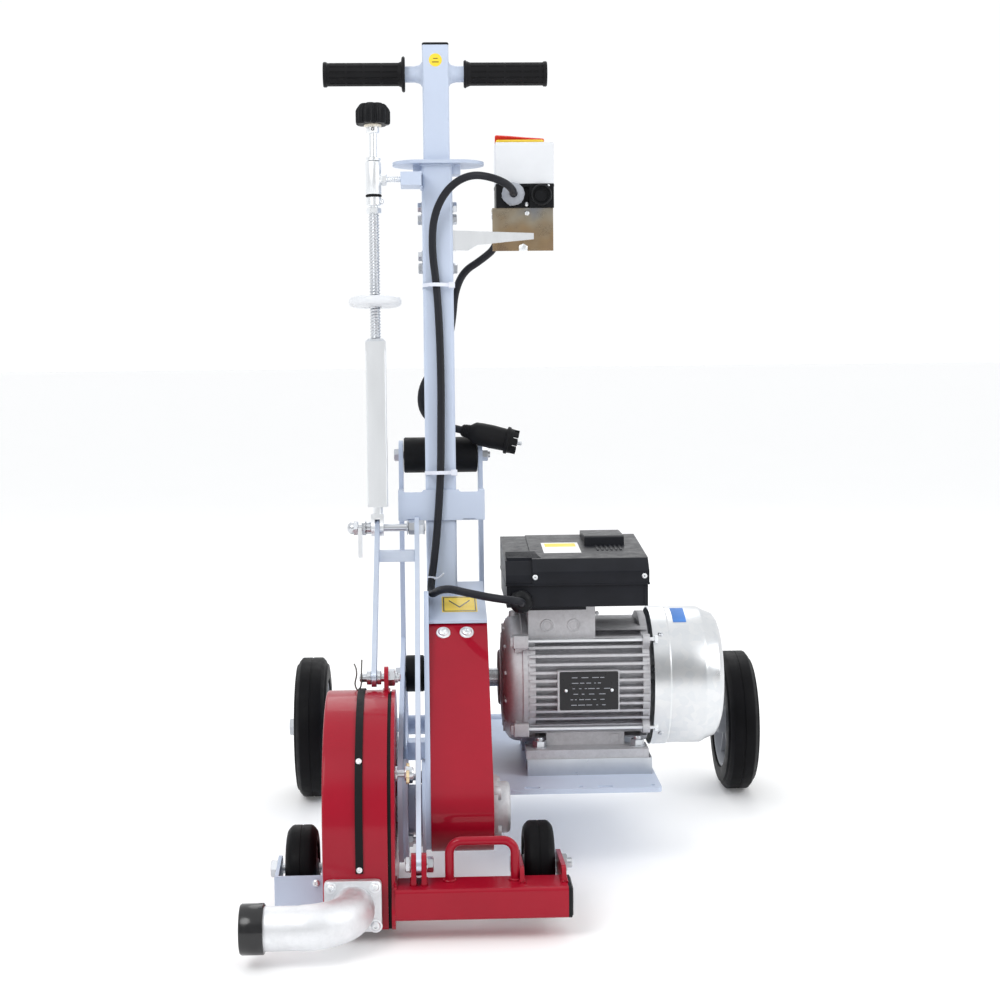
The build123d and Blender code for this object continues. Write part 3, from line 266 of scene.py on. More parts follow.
MATERIALS = {
    "frame_grey": painted("frame_grey", (0.53, 0.60, 0.735), 0.45, 0.2, 0.03, 0.000004, 0.25),
    "red_paint": painted("red_paint", (0.33, 0.003, 0.018), 0.34, 0.36, 0.06, 0.000003),
    "zinc": metal("zinc", (0.60, 0.62, 0.65), 0.30, 0.04, 24, grain=0.000001, spread=0.03),
    "pale_zinc": metal("pale_zinc", (0.60, 0.66, 0.77), 0.38, 0.04, 24, grain=0.000001, spread=0.04),
    "bright_zinc": metal("bright_zinc", (0.88, 0.90, 0.92), 0.40, 0.02, 40, (1, 1, 0.1), 0.000001, 0.03),
    "sheet_zinc": sheet_zinc("sheet_zinc"),
    "yellow_zinc": passivated("yellow_zinc"),
    "cast_aluminium": metal("cast_aluminium", (0.60, 0.60, 0.62), 0.66, 0.06, 120, grain=0.00002,
                            spread=0.05),
    "machined_steel": metal("machined_steel", (0.45, 0.46, 0.48), 0.3, 0.15, 90, (6, 1, 1)),
    "brass": metal("brass", (0.72, 0.58, 0.36), 0.34, 0.12, 80),
    "elbow_cast": metal("elbow_cast", (0.80, 0.81, 0.83), 0.56, 0.04, 70, grain=0.00001),
    "dark_steel": metal("dark_steel", (0.16, 0.15, 0.14), 0.4, 0.2, 90),
    "cast_iron": metal("cast_iron", (0.17, 0.17, 0.18), 0.5, 0.2, 150, grain=0.00003),
    "black_plastic": moulded("black_plastic", (0.007, 0.0075, 0.009), 0.42, 0.00002, shine=0.18),
    "black_gloss": moulded("black_gloss", (0.012, 0.012, 0.013), 0.16, 0.000004, shine=0.5),
    "box_black": moulded("box_black", (0.010, 0.011, 0.015), 0.36, 0.00002, shine=0.18),
    "rim_grey": moulded("rim_grey", (0.30, 0.31, 0.33), 0.45, 0.00002, 0.06),
    "black_rubber": moulded("black_rubber", (0.008, 0.008, 0.009), 0.55, 0.00003, shine=0.15),
    "cable_black": moulded("cable_black", (0.016, 0.017, 0.022), 0.46, 0.00001, shine=0.22),
    "tyre": moulded("tyre", (0.004, 0.004, 0.005), 0.5, 0.00004, shine=0.1),
    "white_plastic": moulded("white_plastic", (0.74, 0.76, 0.79), 0.35, 0.00001, 0.02),
    "cream_plastic": moulded("cream_plastic", (0.80, 0.74, 0.62), 0.4, 0.00001, 0.04),
    "tie_plastic": moulded("tie_plastic", (0.74, 0.77, 0.86), 0.3, 0.00001, 0.03),
    "grey_plastic": moulded("grey_plastic", (0.34, 0.36, 0.40), 0.4, 0.00001, 0.05),
    "red_plastic": moulded("red_plastic", (0.72, 0.045, 0.03), 0.3, 0.00001, 0.04),
    "yellow_label": moulded("yellow_label", (0.92, 0.66, 0.05), 0.4, 0.00001, 0.03),
    "black_label": moulded("black_label", (0.02, 0.02, 0.022), 0.3, 0.00001, 0.1),
    "white_label": moulded("white_label", (0.85, 0.85, 0.84), 0.4, 0.00001, 0.02),
    "blue_tape": moulded("blue_tape", (0.08, 0.26, 0.72), 0.5, 0.00004, 0.08),
}


# ---------------------------------------------------------------- shape helpers, in millimetres
def axis_frame(foot, axis):
    """Frame standing on foot with its Z along axis."""
    return Matrix.Translation(foot) @ Vector(axis).to_track_quat("Z", "Y").to_matrix().to_4x4()


def skin(bm, rings, caps=(True, True), ring_closed=True, loop=False):
    """Faces between neighbouring rings of points, with a face over each end."""
    rows = [[bm.verts.new(p) for p in ring] for ring in rings]
    count = len(rows[0])
    pairs = list(zip(rows, rows[1:]))
    if loop:
        pairs.append((rows[-1], rows[0]))
    for a, b in pairs:
        for i in range(count if ring_closed else count - 1):
            j = (i + 1) % count
            bm.faces.new((a[i], a[j], b[j], b[i]))
    if not loop and caps[0]:
        bm.faces.new(rows[0][::-1])
    if not loop and caps[1]:
        bm.faces.new(rows[-1])
    return rows


def lathe(bm, foot, axis, profile, steps=48, loop=False, lobe=None):
    """Turns (radius, height) points round an axis; lobe(angle, radius, height) may change a radius."""
    frame = axis_frame(foot, axis)
    rings = []
    for r, h in profile:
        ring = []
        for k in range(steps):
            t = 2 * math.pi * k / steps
            s = lobe(t, r, h) if lobe else r
            ring.append(frame @ Vector((s * math.cos(t), s * math.sin(t), h)))
        rings.append(ring)
    return skin(bm, rings, loop=loop)


def ring_of(bm, foot, axis, inner, outer, low, high, edge=0.4, steps=48):
    """A washer or short sleeve with softened edges."""
    lathe(bm, foot, axis, [(inner, low), (outer - edge, low), (outer, low + edge), (outer, high - edge),
                           (outer - edge, high), (inner, high)], steps, loop=True)


def prism(bm, outline, axis, low, high):
    """A 2-D outline given in the other two axes, in order, made solid from low to high along axis."""
    def place(point, height):
        spot = list(point)
        spot.insert("xyz".index(axis), height)
        return Vector(spot)

    skin(bm, [[place(point, height) for point in outline] for height in (low, high)])


def block(bm, x, y, z):
    prism(bm, [(x[0], y[0]), (x[1], y[0]), (x[1], y[1]), (x[0], y[1])], "z", *z)


def rounded(points, radius, steps=5):
    """The outline with its corners rounded; radius is one number or one for each corner."""
    radii = radius if isinstance(radius, (list, tuple)) else [radius] * len(points)
    out = []
    for i, r in enumerate(radii):
        a, b, c = (Vector(points[i - 1]), Vector(points[i]), Vector(points[(i + 1) % len(points)]))
        if r <= 0:
            out.append(tuple(b))
            continue
        reach = min(r / math.tan((a - b).angle(c - b) / 2), 0.49 * min((a - b).length, (c - b).length))
        start, end = b + (a - b).normalized() * reach, b + (c - b).normalized() * reach
        for k in range(steps + 1):
            t = k / steps
            out.append(tuple(start * (1 - t) ** 2 + b * 2 * t * (1 - t) + end * t ** 2))
    return out


def rectangle(a, b):
    return [(a[0], b[0]), (a[1], b[0]), (a[1], b[1]), (a[0], b[1])]


def arc(centre, radius, start, end, steps=24):
    """Points of an arc, with its angles in degrees."""
    turns = [math.radians(start + (end - start) * k / steps) for k in range(steps + 1)]
    return [(centre[0] + radius * math.cos(t), centre[1] + radius * math.sin(t)) for t in turns]


def through(points, per=8):
    """Points of a smooth line through the given points."""
    pts = [Vector(p) for p in points]
    pts = [pts[0] * 2 - pts[1], *pts, pts[-1] * 2 - pts[-2]]
    out = []
    for a, b, c, d in zip(pts, pts[1:], pts[2:], pts[3:]):
        for k in range(per):
            t = k / per
            out.append(0.5 * (2 * b + (c - a) * t + (2 * a - 5 * b + 4 * c - d) * t * t
                              + (3 * b - a - 3 * c + d) * t ** 3))
    return [*out, pts[-2]]


def tube(bm, points, radius, steps=12, taper=None, loop=False):
    """A round bar along points; taper(share) multiplies its radius along the way."""
    points = [Vector(p) for p in points]
    side, rings = None, []
    for i, p in enumerate(points):
        if loop:
            ahead = points[(i + 1) % len(points)] - points[i - 1]
        else:
            ahead = points[min(i + 1, len(points) - 1)] - points[max(i - 1, 0)]
        ahead.normalize()
        if side is None:
            side = ahead.orthogonal()
        side = (side - ahead * side.dot(ahead)).normalized()
        other = ahead.cross(side)
        r = radius * (taper(i / (len(points) - 1)) if taper else 1)
        rings.append([p + r * (math.cos(t) * side + math.sin(t) * other)
                      for t in (2 * math.pi * k / steps for k in range(steps))])
    skin(bm, rings, loop=loop)


def nut(bm, foot, axis, across, height, turn=0.0, bore=0.0, both=False):
    """Hexagon nut or bolt head with chamfered corners; bore leaves a hollow in its outer face."""
    inner = across / 2
    angles = [math.radians(turn + 7.5 * k) for k in range(48)]
    reach = [inner / math.cos(math.radians((7.5 * k) % 60 - 30)) for k in range(48)]
    drop = [0.55 * (r - inner) + 0.02 * across for r in reach]
    frame = axis_frame(foot, axis)

    def ring(radii, heights):
        return [frame @ Vector((r * math.cos(t), r * math.sin(t), h))
                for r, t, h in zip(radii, angles, heights)]

    flat = [inner * 0.95] * 48
    rings = [ring(flat, [0] * 48), ring(reach, drop)] if both else [ring(reach, [0] * 48)]
    rings += [ring(reach, [height - d for d in drop]), ring(flat, [height] * 48)]
    if bore:
        rings += [ring([bore] * 48, [height] * 48), ring([bore * 0.97] * 48, [height * 0.6] * 48)]
    skin(bm, rings)


def threaded(bm, foot, axis, radius, length, pitch, depth=None, steps=28):
    """Threaded bar: a bar whose radius follows a screw line, with chamfered ends."""
    depth = depth or 0.55 * pitch
    frame = axis_frame(foot, axis)
    count = max(2, int(length / pitch * 6))
    rings = []
    for i in range(count + 1):
        h = length * i / count
        ease = min(1.0, (length - h) / pitch + 0.35, h / pitch + 0.35)
        ring = []
        for k in range(steps):
            t = 2 * math.pi * k / steps
            phase = (h / pitch - k / steps) % 1
            wave = min(1.0, max(0.0, 1.6 * abs(2 * phase - 1) - 0.3))
            r = (radius - depth * wave) * (0.9 + 0.1 * ease)
            ring.append(frame @ Vector((r * math.cos(t), r * math.sin(t), h)))
        rings.append(ring)
    skin(bm, rings)


def bead(bm, points, radius, seed, loop=False):
    """Weld bead: overlapping ripples along a line."""
    draw = random.Random(seed)
    line = [Vector(p) for p in points]
    fine = []
    for a, b in zip(line, line[1:] + ([line[0]] if loop else [])):
        steps = max(1, int((b - a).length / 0.8))
        fine += [a.lerp(b, k / steps) for k in range(steps)]
    if not loop:
        fine.append(line[-1])
    swell = [1 + 0.16 * abs(math.sin(i * 0.8)) + draw.uniform(-0.05, 0.05) for i in range(len(fine))]
    tube(bm, fine, radius, 10, lambda share: swell[round(share * (len(fine) - 1))], loop=loop)


def piece(name, bm, body, material, bevel=0.0, place=DESIGN, replaces=(), segments=2, sharp=40):
    """Turns a mesh being built into a finished piece that rides on a body."""
    bmesh.ops.recalc_face_normals(bm, faces=bm.faces)
    bm.transform(place)
    mesh = bpy.data.meshes.new(name)
    bm.to_mesh(mesh)
    bm.free()
    mesh.materials.append(MATERIALS[material])
    mesh.shade_smooth()
    obj = bpy.data.objects.new(name, mesh)
    bpy.context.scene.collection.objects.link(obj)
    if bevel:
        soften(obj, bevel, segments)
    else:
        mesh.set_sharp_from_angle(angle=math.radians(sharp))
    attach(obj, body)
    if replaces:
        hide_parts(*replaces)
    return obj


def soften(obj, width, segments=2, angle=32):
    """Rounds an object's sharp edges by a width in millimetres."""
    bevel = obj.modifiers.new("edges", "BEVEL")
    bevel.width = width * MM
    bevel.segments = segments
    bevel.limit_method = "ANGLE"
    bevel.angle_limit = math.radians(angle)
    bevel.miter_outer = "MITER_ARC"
    bevel.use_clamp_overlap = True
    bevel.harden_normals = True


# ---------------------------------------------------------------- cords
POWER_ROUTE = [
    (85, 352, 812), (81, 352, 782), (58, 350, 763), (34, 347, 748), (22, 344, 720),
    (19, 342, 685), (12, 340, 650), (-6, 338, 621), (-24, 337, 595), (-25, 337, 565),
    (-9, 337.5, 547), (10.5, 336.8, 541.1), (30, 336, 536.5),
]
MOTOR_ROUTE = [
    (99, 283, 846), (97, 256, 852), (72, 246, 864), (42, 256, 869), (14, 274, 854),
    (-5, 283, 820), (-8, 285, 775), (-2, 284.2, 727), (1, 281, 665), (2, 275, 600),
    (1, 270.5, 540), (0, 264.5, 482), (-5.5, 258, 411), (-10, 252, 372), (-13.5, 247, 350),
    (-15, 237, 334), (-13, 220, 331.5), (-6, 196, 340), (6.7, 168, 346.5), (22.6, 142, 346.3),
    (42, 119, 345), (61, 106, 343), (79, 100.5, 341), (92.5, 105, 338.5), (97.5, 116, 335),
    (97.5, 133, 332),
]


def cord_curve(name, route, node):
    """A cable along one smooth NURBS line."""
    curve = bpy.data.curves.new(name, "CURVE")
    curve.dimensions = "3D"
    curve.bevel_depth = 5 * MM
    curve.bevel_resolution = 6
    curve.resolution_u = 16
    curve.use_fill_caps = True
    spline = curve.splines.new("NURBS")
    spline.points.add(len(route) - 1)
    for point, place in zip(spline.points, route):
        point.co = (*at(*place), 1)
    spline.order_u = 3
    spline.use_endpoint_u = True
    curve.materials.append(MATERIALS["cable_black"])
    obj = bpy.data.objects.new(name, curve)
    bpy.context.scene.collection.objects.link(obj)
    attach(obj, "frame")
    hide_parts(node)
    return obj


def make_plug():
    """Angled rubber plug: ribbed neck, body, sleeve with a notched crown and two pins."""
    start, tip = Vector(POWER_ROUTE[-1]), Vector((104, 333, 519))
    length = (tip - start).length
    along = (tip - start).normalized()
    bm = bmesh.new()
    profile = [(5.1, -2), (7.6, 0), (8.6, 4), (9.2, 10), (12.0, 13), (14.6, 17), (15.4, 26), (15.8, 40),
               (15.3, length - 24), (15.0, length - 17), (17.4, length - 16.6), (18.3, length - 16),
               (18.3, length - 12.6), (17.2, length - 12), (16.6, length - 11.6), (16.2, length - 7)]
    lathe(bm, start, along, profile, 64)
    frame = axis_frame(start, along)
    for k in range(8):
        t = 2 * math.pi * k / 8
        tooth = [(r * math.cos(t + s), r * math.sin(t + s)) for r, s in
                 ((12.6, -0.27), (16.2, -0.27), (16.2, 0), (16.2, 0.27), (12.6, 0.27))]
        skin(bm, [[frame @ Vector((a, b, h)) for a, b in tooth] for h in (length - 8, length - 0.5)])
    for k in range(5):
        lathe(bm, start + along * (1 + 2.1 * k), along, [(7.2 + 0.3 * k, 0), (8.6 + 0.3 * k, 0.4),
              (8.6 + 0.3 * k, 1.1), (7.2 + 0.3 * k, 1.5)], 40)
    body = piece("plug_body", bm, "frame", "black_rubber", 0.35, replaces=["power_plug"])
    bm = bmesh.new()
    for side in (-1, 1):
        foot = frame @ Vector((side * 9.5, 0, length - 8))
        lathe(bm, foot, along, [(2.4, 0), (2.4, 12), (1.9, 13.6), (0.8, 14)], 20)
    pins = piece("plug_pins", bm, "frame", "zinc")
    return [body, pins]


def make_cords():
    flex = cord_curve("mains_lead", POWER_ROUTE, "power_cord")
    cord_curve("motor_lead", MOTOR_ROUTE, "motor_cable")
    make_plug()


make_cords()


# ---------------------------------------------------------------- CAD nodes that stay
def dress(node, material, edge=0.5):
    """Gives a CAD node its material and rounds its sharp edges."""
    obj = frame["nodes"][node]
    mesh = obj.data
    if "custom_normal" in mesh.attributes:
        mesh.attributes.remove(mesh.attributes["custom_normal"])
    mesh.materials.clear()
    mesh.materials.append(MATERIALS[material])
    mesh.shade_smooth()
    weld = obj.modifiers.new("weld", "WELD")
    weld.merge_threshold = 0.01 * MM
    flat = obj.modifiers.new("flat", "DECIMATE")
    flat.decimate_type = "DISSOLVE"
    flat.angle_limit = math.radians(0.6)
    if edge:
        soften(obj, edge)
    return obj


KEPT = {
    "frame_grey": ("mast_tube yoke_plate left_side_plate centre_plate right_side_plate base_plate rear_axle "
                   "bearing_housing belt_top_plate wheel_fork handle_mast"),
    "red_paint": "belt_cover guard_cover guard_plate crossbar",
    "zinc": "motor_rails",
    "pale_zinc": "link_bar push_bar",
    "bright_zinc": "spindle_tube switch_arm",
    "yellow_zinc": "switch_bracket",
    "cast_aluminium": "motor_casing outboard_cap",
    "machined_steel": "drum_shaft motor_rotor",
    "cast_iron": "driven_pulley drive_pulley",
    "black_rubber": "guard_strip v_belts",
}
for finish, names in KEPT.items():
    for node_name in names.split():
        dress(node_name, finish)


# ---------------------------------------------------------------- small shapes used on several pieces
def stack(bm, half, corner, levels, centre=(0, 0)):
    """A rounded rectangle built up from (inset, height) levels."""
    rings = []
    for inset, z in levels:
        a, b = [(c - h + inset, c + h - inset) for c, h in zip(centre, half)]
        rings.append([Vector((x, y, z)) for x, y in rounded(rectangle(a, b), max(corner - inset, 0.3))])
    skin(bm, rings)


def dome_screw(bm, foot, axis, radius, height=None):
    """Round-headed screw with a shallow socket."""
    height = height or 0.6 * radius
    lathe(bm, foot, axis, [(radius, -0.5), (radius, 0.25 * height), (0.86 * radius, 0.72 * height),
                           (0.55 * radius, height), (0.34 * radius, height), (0.3 * radius, 0.45 * height)],
          24)


def washer(bm, foot, axis, radius, height=1.5, bore=2.0):
    ring_of(bm, foot, axis, bore, radius, 0, height, 0.3, 32)


def along_x(x, y, z):
    """Foot and axis for something standing on x and pointing to the side of the other x."""
    return (x[0], y, z), (1 if x[1] > x[0] else -1, 0, 0)


def hex_nut(bm, x, y, z, across, turn=0.0):
    """Nut along X from x[0] to x[1], its chamfered face at x[1]."""
    foot, axis = along_x(x, y, z)
    nut(bm, foot, axis, across, abs(x[1] - x[0]), turn)


def bar_x(bm, x, y, z, radius, steps=24, edge=0.6):
    low, high = sorted(x)
    lathe(bm, (low, y, z), (1, 0, 0), [(radius - edge, 0), (radius, edge), (radius, high - low - edge),
                                       (radius - edge, high - low)], steps)


# ---------------------------------------------------------------- handle
BAR_R, GRIP_R = 10.5, 15.0
BAR_LEVEL, HANDLE_TOP = up_mast(1005), up_mast(1040)
DASH, DASH_PITCH = 20.5, 23.0


def grip_groove(t, r, h):
    """Long dashed grooves sunk into the round part of a grip."""
    along = (h - 9) % DASH_PITCH
    sunk = r == GRIP_R and h > 8.9 and 0.5 < along < DASH - 0.5
    return r - 1.0 if sunk and abs((t / (math.pi / 6)) % 1 - 0.5) > 0.41 else r


def make_handle():
    bm = bmesh.new()
    for side, inner, outer, flange in ((-1, 40, 147, 23), (1, 37, 146.5, 18)):
        length = outer - inner
        profile = [(BAR_R - 0.2, 0), (flange - 1.2, 0), (flange, 1.1), (flange, 2.8), (flange - 1.4, 4.2),
                   (16.6, 4.9), (15.6, 7.2)]
        for k in range(4):
            start = 9 + DASH_PITCH * k
            profile += [(GRIP_R, start + h) for h in (0, 0.9, DASH - 0.9, DASH)]
        profile += [(GRIP_R, length - 5.6), (16.3, length - 4.3), (16.4, length - 1.2), (15.6, length),
                    (4, length)]
        lathe(bm, (side * inner, 0, BAR_LEVEL), (side, 0, 0), profile, 144, lobe=grip_groove)
    piece("handle_grips", bm, "handle", "black_rubber", place=MAST, replaces=["grips"])
    bm = bmesh.new()
    stack(bm, (17.4, 17.4), 4, [(0, HANDLE_TOP), (0, HANDLE_TOP + 2.1), (0.8, HANDLE_TOP + 3.1),
                                (3.2, HANDLE_TOP + 3.5)])
    piece("handle_cap_moulded", bm, "handle", "black_plastic", place=MAST,
          replaces=["handle_cap"])
    bm = bmesh.new()
    for side in (-1, 1):
        lathe(bm, (side * 17.2, 0, BAR_LEVEL), (side, 0, 0), [
            (16.4, -0.4), (15.6, 0.8), (13.0, 2.4), (11.6, 5), (11.0, 8), (10.5, 9.4)], 40)
    piece("handle_bar_flares", bm, "handle", "frame_grey", place=MAST)
    bm = bmesh.new()
    lathe(bm, (0, -17.2, up_mast(1020)), FORWARDS, [(8.5, -0.1), (8.5, 0.2), (8.2, 0.3)], 40)
    piece("round_sticker", bm, "handle", "yellow_label", place=MAST)
    bm = bmesh.new()
    for z, half in ((1021.5, 3.0), (1016.8, 4.4)):
        block(bm, (-half, half), (-17.62, -17.45), (up_mast(z), up_mast(z) + 1.1))
    piece("round_sticker_bars", bm, "handle", "black_label", place=MAST)


make_handle()


# ---------------------------------------------------------------- depth spindle
KNOB_LOW = up_mast(932)


def star(t, r, h):
    """Seven broad lobes with fine upright ribs."""
    if r < 12:
        return r
    valley = (0.5 + 0.5 * math.cos(7 * t)) ** 3
    return r * (1 - 0.17 * valley) + 0.22 * math.cos(70 * t)


def make_depth_spindle():
    up = (0, 0, 1)
    bm = bmesh.new()
    lathe(bm, (0, 0, KNOB_LOW), up, [
        (9, 0), (20.4, 0.2), (22.3, 1.8), (22.5, 6), (22.5, 16.5), (21.4, 19.5), (17.4, 25.0),
        (15.6, 26.5), (12.5, 27), (9, 26.4), (8, 25.6), (0.5, 25.5)], 280, lobe=star)
    piece("knob_star", bm, "depth_spindle", "black_plastic", place=ON_SPINDLE,
          replaces=["depth_knob"], sharp=30)
    bm = bmesh.new()
    ring_of(bm, (0, 0, 0), up, 5, 11.5, up_mast(930), up_mast(932.2), 0.5)
    piece("knob_washer", bm, "depth_spindle", "cream_plastic", place=ON_SPINDLE)
    bm = bmesh.new()
    lathe(bm, (0, 0, 0), up, [(5.2, up_mast(921)), (7.6, up_mast(921.2)), (8.2, up_mast(922)),
                              (8.2, up_mast(929)), (7.8, up_mast(930))], 40)
    for low, high, radius in ((885.4, 890, 9.6), (828, 839.3, 9.5)):
        ring_of(bm, (0, 0, 0), up, 4.8, radius, up_mast(low), up_mast(high), 0.8)
    nut(bm, (0, 0, up_mast(818)), up, 16.5, 7.5, both=True)
    dome_screw(bm, (9.2, 0, up_mast(833.5)), (1, 0, 0), 4.0, 3.4)
    lathe(bm, (0, 0, 0), up, [(5, up_mast(814)), (5, up_mast(932))], 32)
    piece("spindle_collars", bm, "depth_spindle", "bright_zinc", place=ON_SPINDLE)
    bm = bmesh.new()
    threaded(bm, (0, 0, up_mast(600)), up, 7.0, up_mast(817) - up_mast(600), 4.0, 1.3)
    piece("spindle_thread", bm, "depth_spindle", "zinc", place=ON_SPINDLE,
          replaces=["spindle_rod"], sharp=60)
    bm = bmesh.new()
    lathe(bm, (0, -7.8, up_mast(925.5)), FORWARDS, [(2.3, -1), (2.3, 0.8), (1.3, 0.8), (1.2, 0.2)], 20)
    piece("knob_set_screw", bm, "depth_spindle", "dark_steel", place=ON_SPINDLE)

    bm = bmesh.new()
    lathe(bm, (0, 0, 0), up, [(5.3, up_mast(842)), (9.4, up_mast(842)), (10, up_mast(843)),
                              (10, up_mast(883)), (9.2, up_mast(884.6)), (5.3, up_mast(885))], 48)
    level = up_mast(862)
    lathe(bm, (0, 0, level), (1, 0, 0), [(6.8, 5), (6.8, 9.6), (6.2, 10.4)], 32)
    nut(bm, (10.2, 0, level), (1, 0, 0), 14.5, 6.8, 30, both=True)
    threaded(bm, (12, 0, level), (1, 0, 0), 4.0, 23, 2.4, 0.8)
    piece("tee_sleeve", bm, "frame", "bright_zinc", place=ON_SPINDLE, replaces=["t_fitting"])
    bm = bmesh.new()
    ring_of(bm, (0, 0, 0), up, 5.3, 10.4, up_mast(839.7), up_mast(842.2), 0.5)
    piece("tee_seal", bm, "frame", "black_rubber", place=ON_SPINDLE)

    bm = bmesh.new()
    levels = [(8.2, 698), (29, 698.2), (32.4, 699.6), (33.8, 702.2), (34, 705), (33.6, 707.4), (32, 709.8),
              (29, 711), (13, 710.6), (12, 711), (8.2, 711)]
    lathe(bm, (0, 0, 0), up, [(r, up_mast(z)) for r, z in levels], 72, loop=True)
    piece("lock_wheel", bm, "lock_disc", "white_plastic", place=ON_SPINDLE,
          replaces=["lock_disc"])


make_depth_spindle()


# ---------------------------------------------------------------- switch
SLOPE = DESIGN @ Matrix.Translation((115, 359, 901)) @ Matrix((
    (1, 0, 0, 0), (0, 0.569, 0.822, 0), (0, -0.822, 0.569, 0), (0, 0, 0, 1)))


def make_switch():
    bm = bmesh.new()
    side = rounded([(300, 860), (300, 914), (350, 914), (368, 888), (368, 860)], [0.5, 5, 5, 5, 0.5])
    prism(bm, side, "x", 77, 153)
    piece("switch_housing", bm, "frame", "white_plastic", 1.1, replaces=["switch_box"])
    bm = bmesh.new()
    plan = [(77, 300), (113.4, 300), (113.4, 308), (120.6, 308), (120.6, 300), (153, 300), (153, 368),
            (77, 368)]
    prism(bm, rounded(plan, [2, 0.6, 0.6, 0.6, 0.6, 2, 4, 4], 3), "z", 829, 859.4)
    prism(bm, rounded(rectangle((76.6, 153.4), (299.6, 368.4)), 3, 3), "z", 856.2, 859.6)
    lathe(bm, (136, 300, 845), FORWARDS, [
        (14, -1), (14, 5.2), (13.4, 6.4), (12.4, 6.8), (11.6, 6.4), (11.2, 1.0), (8.6, 0.9), (8.4, 2.2),
        (7.4, 2.2), (7.2, 0.9), (0.5, 0.8)], 56)
    piece("switch_foot", bm, "frame", "black_plastic", 0.5, replaces=["switch_base"])
    bm = bmesh.new()
    dome_screw(bm, (117, 304, 833.6), FORWARDS, 3.2, 2.4)
    dome_screw(bm, (117.5, 304, 822), FORWARDS, 3.4, 2.2)
    nut(bm, (112, 304, 776), FORWARDS, 11, 4.6, 30)
    dome_screw(bm, (146, 300, 857.6), FORWARDS, 1.6, 1.0)
    piece("switch_screws", bm, "frame", "bright_zinc")
    bm = bmesh.new()
    outer = rounded(rectangle((-36, 28), (-23.6, 19)), 3, 4)
    inner = rounded(rectangle((-16, 16), (-13, 13)), 3, 4)
    skin(bm, [[Vector((x, y, z)) for x, y in ring] for ring, z in
              ((outer, -0.4), (outer, 2.2), (inner, 2.2), (inner, -0.4))], loop=True)
    piece("stop_surround", bm, "frame", "yellow_label", 0.5, place=SLOPE)
    bm = bmesh.new()
    flap = rounded([(-37, -26.5), (-18, -25.2), (6, -22.8), (29, -21), (29, 21), (-37, 21)], 2.5, 4)
    prism(bm, flap, "z", 7.0, 10.0)
    prism(bm, rounded(rectangle((-13, 13), (-10, 10)), 2, 4), "z", 4.4, 8)
    lathe(bm, (-4, 0, 9.6), (0, 0, 1), [(12, 0), (12, 1.8), (10.6, 2.8), (4, 3.2)], 40)
    piece("stop_flap", bm, "stop_button", "red_plastic", 0.6, place=SLOPE,
          replaces=["stop_button"])


def cable_gland(bm, foot, axis, radius, length):
    """Cable gland: hexagon body, then a domed cap with ribs that closes round the cable."""
    nut(bm, foot, axis, 1.74 * radius, 0.36 * length, 15, both=True)
    lathe(bm, foot, axis, [
        (0.9 * radius, 0.3 * length), (0.97 * radius, 0.42 * length), (0.97 * radius, 0.66 * length),
        (0.9 * radius, 0.8 * length), (0.7 * radius, 0.96 * length), (0.56 * radius, 1.03 * length),
        (5.2, 1.05 * length), (4.6, 0.9 * length)], 72,
        lobe=lambda t, r, h: r * (0.965 + 0.035 * abs(math.cos(6 * t))) if r > 0.6 * radius else r)


def line_of(curve):
    """Points along a cable's own smooth line, in metres."""
    copy = curve.copy()
    copy.data = curve.data.copy()
    copy.data.bevel_depth = 0
    mesh = bpy.data.meshes.new_from_object(copy)
    points = [v.co.copy() for v in mesh.vertices]
    bpy.data.meshes.remove(mesh)
    bpy.data.curves.remove(copy.data)
    return points


def make_glands():
    bm = bmesh.new()
    cable_gland(bm, (99, 300, 846), FORWARDS, 15.4, 17.5)
    cable_gland(bm, (85, 352, 829), (0, 0, -1), 12.5, 16)
    piece("switch_glands", bm, "frame", "grey_plastic", 0.3, replaces=["cable_glands"])
    bm = bmesh.new()
    cable_gland(bm, (97.5, 150, 332), FORWARDS, 15.0, 16.5)
    piece("box_gland", bm, "frame", "black_plastic", 0.3)
    line = [DESIGN.inverted() @ p for p in line_of(bpy.data.objects["mains_lead"])]
    reach = [p for p in line if p.z > 785]
    bm = bmesh.new()
    tube(bm, [Vector((85, 352, 816)), *reach], 8.6, 24, lambda share: 1 - 0.36 * share)
    for k in (2, 4, 6):
        where = reach[min(k * len(reach) // 9, len(reach) - 1)]
        ring_of(bm, where, (0.1, 0, -1), 5.2, 8.4 - 0.25 * k, 0, 1.6, 0.4, 28)
    return piece("mains_boot", bm, "frame", "black_rubber", 0.2)


make_switch()
make_glands()


# ---------------------------------------------------------------- motor
FOOT_TOP = 141.0
TIE_PLACES = [(MOTOR_Y + dy, MOTOR_Z + dz) for dy in (-72, 72) for dz in (-54, 59)]
PAD_FRONT = MOTOR_Y - 62
PLATE_FRONT = MOTOR_Y - 88


